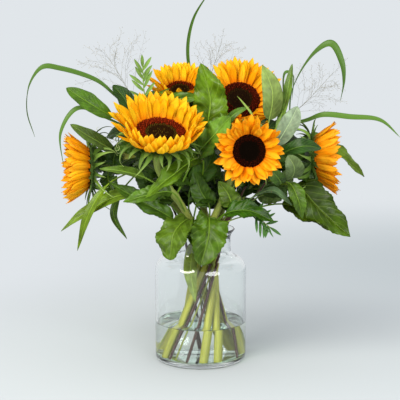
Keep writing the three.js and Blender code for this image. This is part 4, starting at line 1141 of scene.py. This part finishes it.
def node(tree, kind, settings=None, **inputs):
    """Adds a node with its settings and links. An input goes by its name, or by its number after
    an underscore, and takes a number, a colour or another node's output."""
    made = tree.nodes.new("ShaderNode" + kind)
    for key, value in (settings or {}).items():
        setattr(made, key, value)
    for key, value in inputs.items():
        socket = made.inputs[int(key[1:])] if key[1:].isdigit() else made.inputs[key.replace("_", " ")]
        if isinstance(value, bpy.types.NodeSocket):
            tree.links.new(value, socket)
        else:
            socket.default_value = value
    return made


def finish_surface(material, tree, surface):
    output = tree.nodes.new("ShaderNodeOutputMaterial")
    tree.links.new(surface, output.inputs["Surface"])
    return material


def leafy(name, rough, gloss, through, vein_colour, vein_pairs, mottle, cells):
    """Living leaf tissue: veins paler than the fields between them, darker and lighter patches,
    a fine net pressed in, and light that glows through from behind."""
    material, tree = new_material(name)
    tone = node(tree, "VertexColor", {"layer_name": "tone"}).outputs["Color"]
    place = node(tree, "UVMap", {"uv_map": "place"}).outputs["UV"]
    parts = node(tree, "SeparateXYZ", _0=place)
    off = node(tree, "Math", {"operation": "SUBTRACT"}, _0=parts.outputs["X"], _1=0.5)
    aside = node(tree, "Math", {"operation": "ABSOLUTE"}, _0=off.outputs[0])
    back = node(tree, "Math", {"operation": "MULTIPLY"}, _0=aside.outputs[0], _1=VEIN["slant"])
    run = node(tree, "Math", {"operation": "SUBTRACT"}, _0=parts.outputs["Y"], _1=back.outputs[0])
    phase = node(tree, "Math", {"operation": "MULTIPLY"}, _0=run.outputs[0], _1=vein_pairs)
    saw = node(tree, "Math", {"operation": "PINGPONG"}, _0=phase.outputs[0], _1=0.5)
    side_vein = node(tree, "MapRange", SMOOTH, _0=saw.outputs[0], _1=0.0, _2=VEIN["side"],
                     _3=VEIN["side_strength"], _4=0.0)
    midrib = node(tree, "MapRange", SMOOTH, _0=aside.outputs[0], _1=VEIN["rib"], _2=VEIN["rib_fades"],
                  _3=1.0, _4=0.0)
    veins = node(tree, "Math", {"operation": "MAXIMUM"}, _0=side_vein.outputs[0], _1=midrib.outputs[0])
    pale = node(tree, "Mix", BLEND, _0=VEIN["colour_share"], _6=tone, _7=linear(vein_colour))
    spot = node(tree, "TexCoord").outputs["Object"]
    fine = node(tree, "TexNoise", Vector=spot, Scale=per_metre(mottle), Detail=4.0, Roughness=0.6)
    shade = node(tree, "MapRange", _0=fine.outputs[0], _1=0.3, _2=0.7,
                 _3=MOTTLE["dark"], _4=MOTTLE["light"])
    cloud = node(tree, "TexNoise", Vector=spot, Scale=per_metre(PATCH["size"]), Detail=2.0, Roughness=0.5)
    patch = node(tree, "MapRange", _0=cloud.outputs[0], _1=0.36, _2=0.64,
                 _3=PATCH["dark"], _4=PATCH["light"])
    depth = node(tree, "Math", {"operation": "MULTIPLY"}, _0=shade.outputs[0], _1=patch.outputs[0])
    dappled = node(tree, "Mix", TIMES, _0=1.0, _6=tone, _7=depth.outputs[0])
    colour = node(tree, "Mix", BLEND, _0=veins.outputs[0], _6=dappled.outputs[2], _7=pale.outputs[2])
    net = node(tree, "TexVoronoi", Vector=spot, Scale=per_metre(cells), Randomness=1.0)
    relief = node(tree, "Bump", Strength=0.35, Distance=NET_DEPTH * MM, Height=net.outputs[0])
    glossy = node(tree, "BsdfPrincipled", Base_Color=colour.outputs[2], Roughness=rough, IOR=1.4,
                  Specular_IOR_Level=gloss, Normal=relief.outputs[0])
    lit = node(tree, "BsdfTranslucent", Color=colour.outputs[2])
    both = node(tree, "MixShader", _0=through, _1=glossy.outputs[0], _2=lit.outputs[0])
    return finish_surface(material, tree, both.outputs[0])


def plant_skin(name, rough, amount, specks=None, streaks=None, over=None, gloss=0.3, sheen=0.0,
               bump=0.3, through=0.0):
    """A plant's matt skin in its own tone, darker and lighter by an amount. It has specks of one
    size, or streaks with a width and a length, over a blade or stem of a usual width and length."""
    material, tree = new_material(name)
    tone = node(tree, "VertexColor", {"layer_name": "tone"}).outputs["Color"]
    if streaks:
        place = node(tree, "UVMap", {"uv_map": "place"}).outputs["UV"]
        often = (over[0] / streaks[0], over[1] / streaks[1], 1)
        spot = node(tree, "Mapping", Vector=place, Scale=often).outputs[0]
        scale = 1.0
    else:
        spot = node(tree, "TexCoord").outputs["Object"]
        scale = per_metre(specks)
    grain = node(tree, "TexNoise", Vector=spot, Scale=scale, Detail=5.0, Roughness=0.65)
    shade = node(tree, "MapRange", _0=grain.outputs[0], _1=0.3, _2=0.7, _3=1 - amount, _4=1 + amount)
    colour = node(tree, "Mix", TIMES, _0=1.0, _6=tone, _7=shade.outputs[0])
    relief = node(tree, "Bump", Strength=bump, Distance=GRAIN_DEPTH * MM, Height=grain.outputs[0])
    skin = node(tree, "BsdfPrincipled", Base_Color=colour.outputs[2], Roughness=rough, IOR=1.45,
                Specular_IOR_Level=gloss, Sheen_Weight=sheen, Normal=relief.outputs[0])
    if not through:
        return finish_surface(material, tree, skin.outputs[0])
    lit = node(tree, "BsdfTranslucent", Color=colour.outputs[2])
    both = node(tree, "MixShader", _0=through, _1=skin.outputs[0], _2=lit.outputs[0])
    return finish_surface(material, tree, both.outputs[0])


def clear(name, colour, ior):
    """A clear, smooth solid. It bends what is seen through it, but its shadow is as light as
    real glass gives, so the light reaches what stands in it."""
    material, tree = new_material(name)
    body = node(tree, "BsdfPrincipled", Base_Color=linear(colour), Roughness=0.0, IOR=ior,
                Transmission_Weight=1.0)
    passing = node(tree, "BsdfTransparent", Color=linear(colour))
    shadow = node(tree, "LightPath").outputs["Is Shadow Ray"]
    both = node(tree, "MixShader", _0=shadow, _1=body.outputs[0], _2=passing.outputs[0])
    return finish_surface(material, tree, both.outputs[0])


# Sunflower leaf, rough with short hairs: a soft shine on full fields, and pale pressed-in veins.
# The net between its veins is about 0.5 mm wide, too fine to show, and is drawn coarser, at 1.1 mm.
sunflower_leaf = leafy("hairy_sunflower_leaf", rough=0.3, gloss=0.3, through=0.22,
                       vein_colour="#b4cc62", vein_pairs=7, mottle=6.25, cells=1.111)
# Twig leaf with a waxy skin: an even, silky gloss, a pale midrib and less light through it.
# Its net, too fine to show, is drawn coarser, at 0.7 mm.
twig_leaf = leafy("waxy_twig_leaf", rough=0.32, gloss=0.3, through=0.16,
                  vein_colour="#a9c07a", vein_pairs=9, mottle=8.333, cells=0.7143)
# Juicy leaf stalk: smooth and slightly glossy, in blurred patches of green.
stalk_skin = plant_skin("leaf_stalk_skin", rough=0.5, amount=0.2, specks=3.333, sheen=0.02)
# Satin ray petal: fine lines run along it, and it is thin enough to glow. The lines are about
# 0.3 mm apart, too fine to show, and are drawn coarser, at 0.54 mm.
petal_skin = plant_skin("satin_ray_petal", rough=0.55, amount=0.1, streaks=(0.54, 35), over=(14.04, 42),
                        gloss=0.12, bump=0.25, through=0.5)
# Dry disc floret: dead matt, with pollen dust that breaks up its brown. The dust is too fine to
# show and is drawn coarser, as specks of 0.67 mm.
floret_skin = plant_skin("dusty_disc_floret", rough=0.85, amount=0.35, specks=0.6667, gloss=0.02)
# Fluted sunflower stem: streaks 4 mm wide run along it, and its bristles leave a faint sheen.
stem_skin = plant_skin("bristly_sunflower_stem", rough=0.5, amount=0.32, streaks=(3.9, 57), over=(35.1, 399),
                       sheen=0.03)
# Stem bristle: a clear, stiff hair that catches the light.
bristle_skin = plant_skin("stem_bristle", rough=0.5, amount=0.05, specks=1.667, through=0.3)
# Soft green bract: downy, with streaks 1.2 mm wide towards its pale tip.
bract_skin = plant_skin("soft_green_bract", rough=0.55, amount=0.14, streaks=(1.2, 16), over=(10.8, 32),
                        gloss=0.2, sheen=0.04, through=0.2)
# Young twig bark: brown, smooth and matt, with small dark and light marks.
twig_bark = plant_skin("smooth_twig_bark", rough=0.62, amount=0.3, specks=1.4286, bump=0.5)
# Grass blade, ribbed by parallel veins 0.5 mm apart under a thin wax bloom.
grass_skin = plant_skin("ribbed_grass_blade", rough=0.45, amount=0.2, streaks=(0.5, 160), over=(11, 240),
                        through=0.2)
# Dry panicle hair: pale grey-brown straw, so fine that it only veils what is behind it.
panicle_straw = plant_skin("dry_panicle_hair", rough=0.6, amount=0.1, specks=2.0, through=0.15)
# Grain husk: papery and slightly shiny, each grain a little darker or lighter.
grain_husk = plant_skin("grain_husk", rough=0.5, amount=0.25, specks=0.5)
# Fine leaflet: smooth, thin and fresh green, with light through it.
leaflet_skin = plant_skin("fine_leaflet", rough=0.5, amount=0.2, specks=2.5, through=0.2)
# Pressed soda glass: clear and polished, with bright edges where it is seen along its wall.
clear_glass = clear("clear_soda_glass", "#fdfffe", 1.5)
# The thick foot gathers the glass's faint green.
foot_glass = clear("thick_soda_glass_foot", "#d4ece2", 1.5)
# Fresh water: it bends the stems at its surface and shifts them behind the glass.
vase_water = clear("vase_water", "#fbfdf8", 1.333)

# ---------------------------------------------------------------------------------------------
# Making the pieces
# ---------------------------------------------------------------------------------------------

# The sunflowers' stems are lighter low down, where they stand in the vase: painted light that makes up for
# the light the glass and water take from them.
SUNFLOWER_FOOT_LIT_TONE = "#a4a840"
TWIG_TONE = "#3c241c"
INNER_LEAVES = {"sunflower": 13, "twig": 8}
# More knots on a twig, as shares of its length.
TWIG_KNOTS = [0.3, 0.45, 0.6]
TURNED_SIDES = 128
INNER_FLOOR_BANDS = 3


def dress(piece, cad_node):
    """Puts a piece on the bouquet's one body, in place of its solid, which it hides."""
    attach(piece, "root")
    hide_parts(cad_node)


def make_sunflower(flower):
    """A sunflower from its cut foot to its petals."""
    name, seed = flower["name"], flower["seed"]
    place = head_place(flower)
    centre, looks = np.array(flower["disc"], float), unit(flower["looks"])
    line = stem_line(flower, [*flower["via"], centre - looks * NECK_REACH,
                              centre - looks * RECEPTACLE_DEPTH])
    stem, bristles, blades, stalks, bracts = Skin(), Skin(), Skin(), Skin(), Skin()
    add_stem(stem, line, STEM, flower["stem_tone"], SUNFLOWER_FOOT_LIT_TONE,
             knots=[entry["at"] for entry in flower["leaves"]])
    add_bristles(bristles, line, seed)
    for i, entry in enumerate(flower["leaves"]):
        add_leaf(blades, stalks, line, entry, seed * 10 + i)
    small = inner_leaves(line, "heart", seed, INNER_LEAVES["sunflower"]) + flower["small_leaves"]
    for i, entry in enumerate(small):
        add_leaf(blades, stalks, line, entry, seed * 10 + 50 + i, rows=28, columns=11)
    add_back(stem, bracts, flower, place)
    greens = {"stem_skin": (stem, stem_skin), "stem_hairs": (bristles, bristle_skin),
              "leaves": (blades, sunflower_leaf), "leaf_stalks": (stalks, stalk_skin),
              "bracts": (bracts, bract_skin)}
    for part, (skin, material) in greens.items():
        dress(skin.build(f"{name}_{part}", material), f"sunflower_{name}_stem")
    petals, disc, florets = Skin(), Skin(), Skin()
    add_petals(petals, flower, place)
    add_disc(disc, florets, flower, place)
    dress(petals.build(f"{name}_ray_petals", petal_skin), f"sunflower_{name}_petals")
    dress(disc.build(f"{name}_disc_dome", floret_skin), f"sunflower_{name}_disc")
    dress(florets.build(f"{name}_disc_florets", floret_skin), f"sunflower_{name}_disc")


def make_twig(twig, number):
    """A woody twig with its leaves."""
    line = stem_line(twig, twig["path"])
    bark, blades, stalks = Skin(), Skin(), Skin()
    add_stem(bark, line, TWIG, TWIG_TONE, TWIG_TONE,
             knots=[entry["at"] for entry in twig["leaves"]] + TWIG_KNOTS, seed=number)
    for i, entry in enumerate(twig["leaves"]):
        add_leaf(blades, stalks, line, entry, 70 + number * 10 + i)
    for i, entry in enumerate(inner_leaves(line, "oval", 20 + number, INNER_LEAVES["twig"])):
        add_leaf(blades, stalks, line, entry, 120 + number * 10 + i, rows=24, columns=9)
    twig_node = f"twig_{twig['name']}"
    parts = {"bark": (bark, twig_bark), "leaves": (blades, twig_leaf), "leaf_stalks": (stalks, stalk_skin)}
    for part, (skin, material) in parts.items():
        dress(skin.build(f"{twig_node}_{part}", material), twig_node)


def make_grass(grass):
    """A stem of switch grass with its blades and its panicle."""
    line = stem_line(grass, grass["path"])
    culm, blades, hairs, grains = Skin(), Skin(), Skin(), Skin()
    add_stem(culm, line, CULM, "#5f7a30", "#8f9c44", knots=[0.35, 0.55, 0.75, 0.9])
    for i, blade in enumerate(grass["blades"]):
        curve = Line([line.at(blade["at"])[0], *blade["rib"]])
        tone = tone_of("#4f7226" if i % 2 else "#466820")
        add_strap(blades, curve, blade["looks"], blade["width"], tone, 70, 7, veins=0.06)
    add_panicle(hairs, grains, line.at(1)[0], grass["panicle"])
    grass_node, panicle_node = f"grass_{grass['name']}", f"panicle_{grass['name']}"
    dress(culm.build(f"{grass_node}_culm", grass_skin), grass_node)
    dress(blades.build(f"{grass_node}_blades", grass_skin), grass_node)
    dress(hairs.build(f"{panicle_node}_hairs", panicle_straw), panicle_node)
    dress(grains.build(f"{panicle_node}_grains", grain_husk), panicle_node)


def make_spray(spray):
    """A spray of fine compound leaves."""
    line = stem_line(spray, spray["path"])
    rachis, leaflets = Skin(), Skin()
    add_stem(rachis, line, CULM, "#6f8a3f", "#9aa550")
    add_leaflets(leaflets, line, spray)
    spray_node = f"spray_{spray['name']}"
    dress(rachis.build(f"{spray_node}_rachis", stalk_skin), spray_node)
    dress(leaflets.build(f"{spray_node}_leaflets", leaflet_skin), spray_node)


def make_vase():
    """Thin clear glass: a straight body on a rounded foot, a round shoulder and a flared lip."""
    radius, wall, neck, foot = VASE["radius"], VASE["wall"], VASE["neck"], VASE["foot_round"]
    shoulder, turn_r, turn_z = VASE["shoulder"], radius - VASE["shoulder"], VASE["shoulder_z"]
    outside = [[0.01, 1.2], [52, 0.9], [58, 0.0], *arc(radius - foot, foot, foot, -90, 0, 10),
               *arc(turn_r, turn_z, shoulder, 0, 74, 14), [52.4, 178], [50.2, 181.5],
               [neck + 0.2, 185.5], [neck, 190], [neck, 204], [neck + 0.8, 208.5], [neck + 3, 213],
               [55.6, 217.6], *arc(54.4, 218.6, 1.4, -10, 150, 7)]
    bore = neck - wall
    inside = [[neck + 1.2, 213.5], [bore + 1.4, 209], [bore, 204], [bore, 187], [bore + 0.6, 182],
              [bore + 2.6, 177.4], *arc(turn_r, turn_z, shoulder - wall, 74, 0, 14),
              *arc(radius - wall - foot, VASE["floor"] + foot, foot, 0, -90, 10), [0.01, VASE["floor"]]]
    profile = outside + inside
    skin = Skin()
    add_lathed(skin, lathe(profile, TURNED_SIDES), tone_of("#ffffff"))
    vase = skin.build("clear_vase", clear_glass, foot_glass)
    # Only the inner floor is of the greener glass: one surface of the foot is enough to tint it.
    row_of_face = np.repeat(np.arange(len(profile) - 1), TURNED_SIDES)
    inner_floor = row_of_face >= len(profile) - 1 - INNER_FLOOR_BANDS
    vase.data.polygons.foreach_set("material_index", inner_floor.astype(np.int32))
    dress(vase, "glass_vase")


def make_water():
    """Water to its level, wetting the glass, with the slight climb at its edge. It reaches a
    little into the wall, so that no air shows between them. Rings close to the turns of its edge
    keep the smooth shading of the faces beside them straight."""
    edge = VASE["radius"] - VASE["wall"] + 0.15
    bottom = VASE["floor"] - 0.1
    bend = VASE["foot_round"] + 0.05
    profile = [[0.01, bottom], *arc(edge - bend, bottom + VASE["foot_round"], bend, -90, 0, 10),
               [edge, WATER_TOP - 4], [edge, WATER_TOP + 1.1], [edge, WATER_TOP + 1.6],
               [70.9, WATER_TOP + 0.5], [69.9, WATER_TOP + 0.1], [69.0, WATER_TOP], [68.6, WATER_TOP],
               [0.01, WATER_TOP]]
    skin = Skin()
    add_lathed(skin, lathe(profile, TURNED_SIDES), tone_of("#ffffff"))
    dress(skin.build("water_in_vase", vase_water), "water")


for flower in SUNFLOWERS:
    make_sunflower(flower)
for number, twig in enumerate(TWIGS):
    make_twig(twig, number)
for grass in GRASSES:
    make_grass(grass)
for spray in SPRAYS:
    make_spray(spray)
make_vase()
make_water()

# ---------------------------------------------------------------------------------------------
# Stage, light and camera, in metres but for the floor's mesh
# ---------------------------------------------------------------------------------------------

BACKDROP_TONE = "#e1e6ea"
SHADE_TONE = "#c4ccd0"
FLOOR_TONE = "#aeb5b8"
SHADE_AT = (0.62, 0.75, 0)
FLOOR = {"radius": 20000, "below": 0.05, "sides": 64}
LIT_FROM = (0, 0, 0.25)
CAMERA_AT = Vector((-0.001, -1.9, 0.552))
CAMERA_AIM = Vector((-0.001, 0, 0.266))
SENSOR_WIDTH = 36
LENS = 105.75


def add_floor():
    """A pale floor, lit near the vase, that turns into the backdrop's tone far off, with a painted shade
    behind the right of the bunch."""
    material, tree = new_material("pale_floor")
    spot = node(tree, "NewGeometry").outputs["Position"]
    distance = node(tree, "VectorMath", {"operation": "LENGTH"}, _0=spot).outputs["Value"]
    far = node(tree, "MapRange", SMOOTH, _0=distance, _1=0.12, _2=0.8)
    aside = node(tree, "VectorMath", {"operation": "DISTANCE"}, _0=spot, _1=SHADE_AT).outputs["Value"]
    shade = node(tree, "MapRange", SMOOTH, _0=aside, _1=0.1, _2=1.1, _3=1.0, _4=0.0)
    tone = node(tree, "Mix", BLEND, _0=shade.outputs[0], _6=linear(BACKDROP_TONE), _7=linear(SHADE_TONE))
    near = node(tree, "BsdfDiffuse", Color=linear(FLOOR_TONE))
    glow = node(tree, "Emission", Color=tone.outputs[2], Strength=1.0)
    both = node(tree, "MixShader", _0=far.outputs[0], _1=near.outputs[0], _2=glow.outputs[0])
    finish_surface(material, tree, both.outputs[0])
    turns = round_angles(FLOOR["sides"])
    edge = np.stack([np.cos(turns), np.sin(turns), 0 * turns], axis=-1) * FLOOR["radius"]
    skin = Skin()
    skin.add(edge - [0, 0, FLOOR["below"]], [list(range(FLOOR["sides"]))], tone_of(FLOOR_TONE))
    skin.build("floor", material)


def aim(holder, place, target):
    """Puts a lamp or a camera in its place, turned to a target."""
    holder.location = place
    holder.rotation_euler = (Vector(target) - Vector(place)).to_track_quat("-Z", "Y").to_euler()
    bpy.context.scene.collection.objects.link(holder)


def add_lamp(name, place, size, power, colour):
    lamp = bpy.data.lights.new(name, "AREA")
    lamp.shape = "DISK"
    lamp.size = size
    lamp.energy = power
    lamp.color = linear(colour)[:3]
    aim(bpy.data.objects.new(name, lamp), place, LIT_FROM)


def add_backdrop():
    """An even pale backdrop, also seen through the glass, that lights the bouquet all round."""
    world = bpy.data.worlds.new("pale_backdrop")
    bpy.context.scene.world = world
    world.use_nodes = True
    tree = world.node_tree
    tree.nodes.clear()
    seen = node(tree, "Background", Color=linear(BACKDROP_TONE), Strength=1.0)
    glow = node(tree, "Background", Color=linear("#f2f2f2"), Strength=0.97)
    rays = node(tree, "LightPath").outputs
    seen_ray = node(tree, "Math", {"operation": "MAXIMUM"}, _0=rays["Is Camera Ray"],
                    _1=rays["Is Transmission Ray"])
    both = node(tree, "MixShader", _0=seen_ray.outputs[0], _1=glow.outputs[0], _2=seen.outputs[0])
    tree.links.new(both.outputs[0], tree.nodes.new("ShaderNodeOutputWorld").inputs["Surface"])


def add_camera():
    """Stands as the photograph's camera did: a little above the bouquet, looking slightly down."""
    camera = bpy.data.cameras.new("front_view")
    camera.sensor_width = SENSOR_WIDTH
    camera.lens = LENS
    holder = bpy.data.objects.new("front_view", camera)
    aim(holder, CAMERA_AT, CAMERA_AIM)
    bpy.context.scene.camera = holder


add_floor()
add_lamp("window_light", (-1.4, -1.7, 1.9), size=1.7, power=100, colour="#fffaf0")
add_lamp("soft_fill", (1.2, -2.0, 0.9), size=1.6, power=46, colour="#fbfbff")
add_backdrop()
add_camera()

bpy.context.scene.view_settings.view_transform = "Standard"
# Light goes through glass, water and glass again, and through many thin leaves, before it ends.
light_paths = bpy.context.scene.cycles
light_paths.max_bounces = 32
light_paths.transmission_bounces = 32
light_paths.transparent_max_bounces = 32
# Clear solids let shadow rays through already, so caustics would bring that light twice.
light_paths.caustics_refractive = False
light_paths.caustics_reflective = False
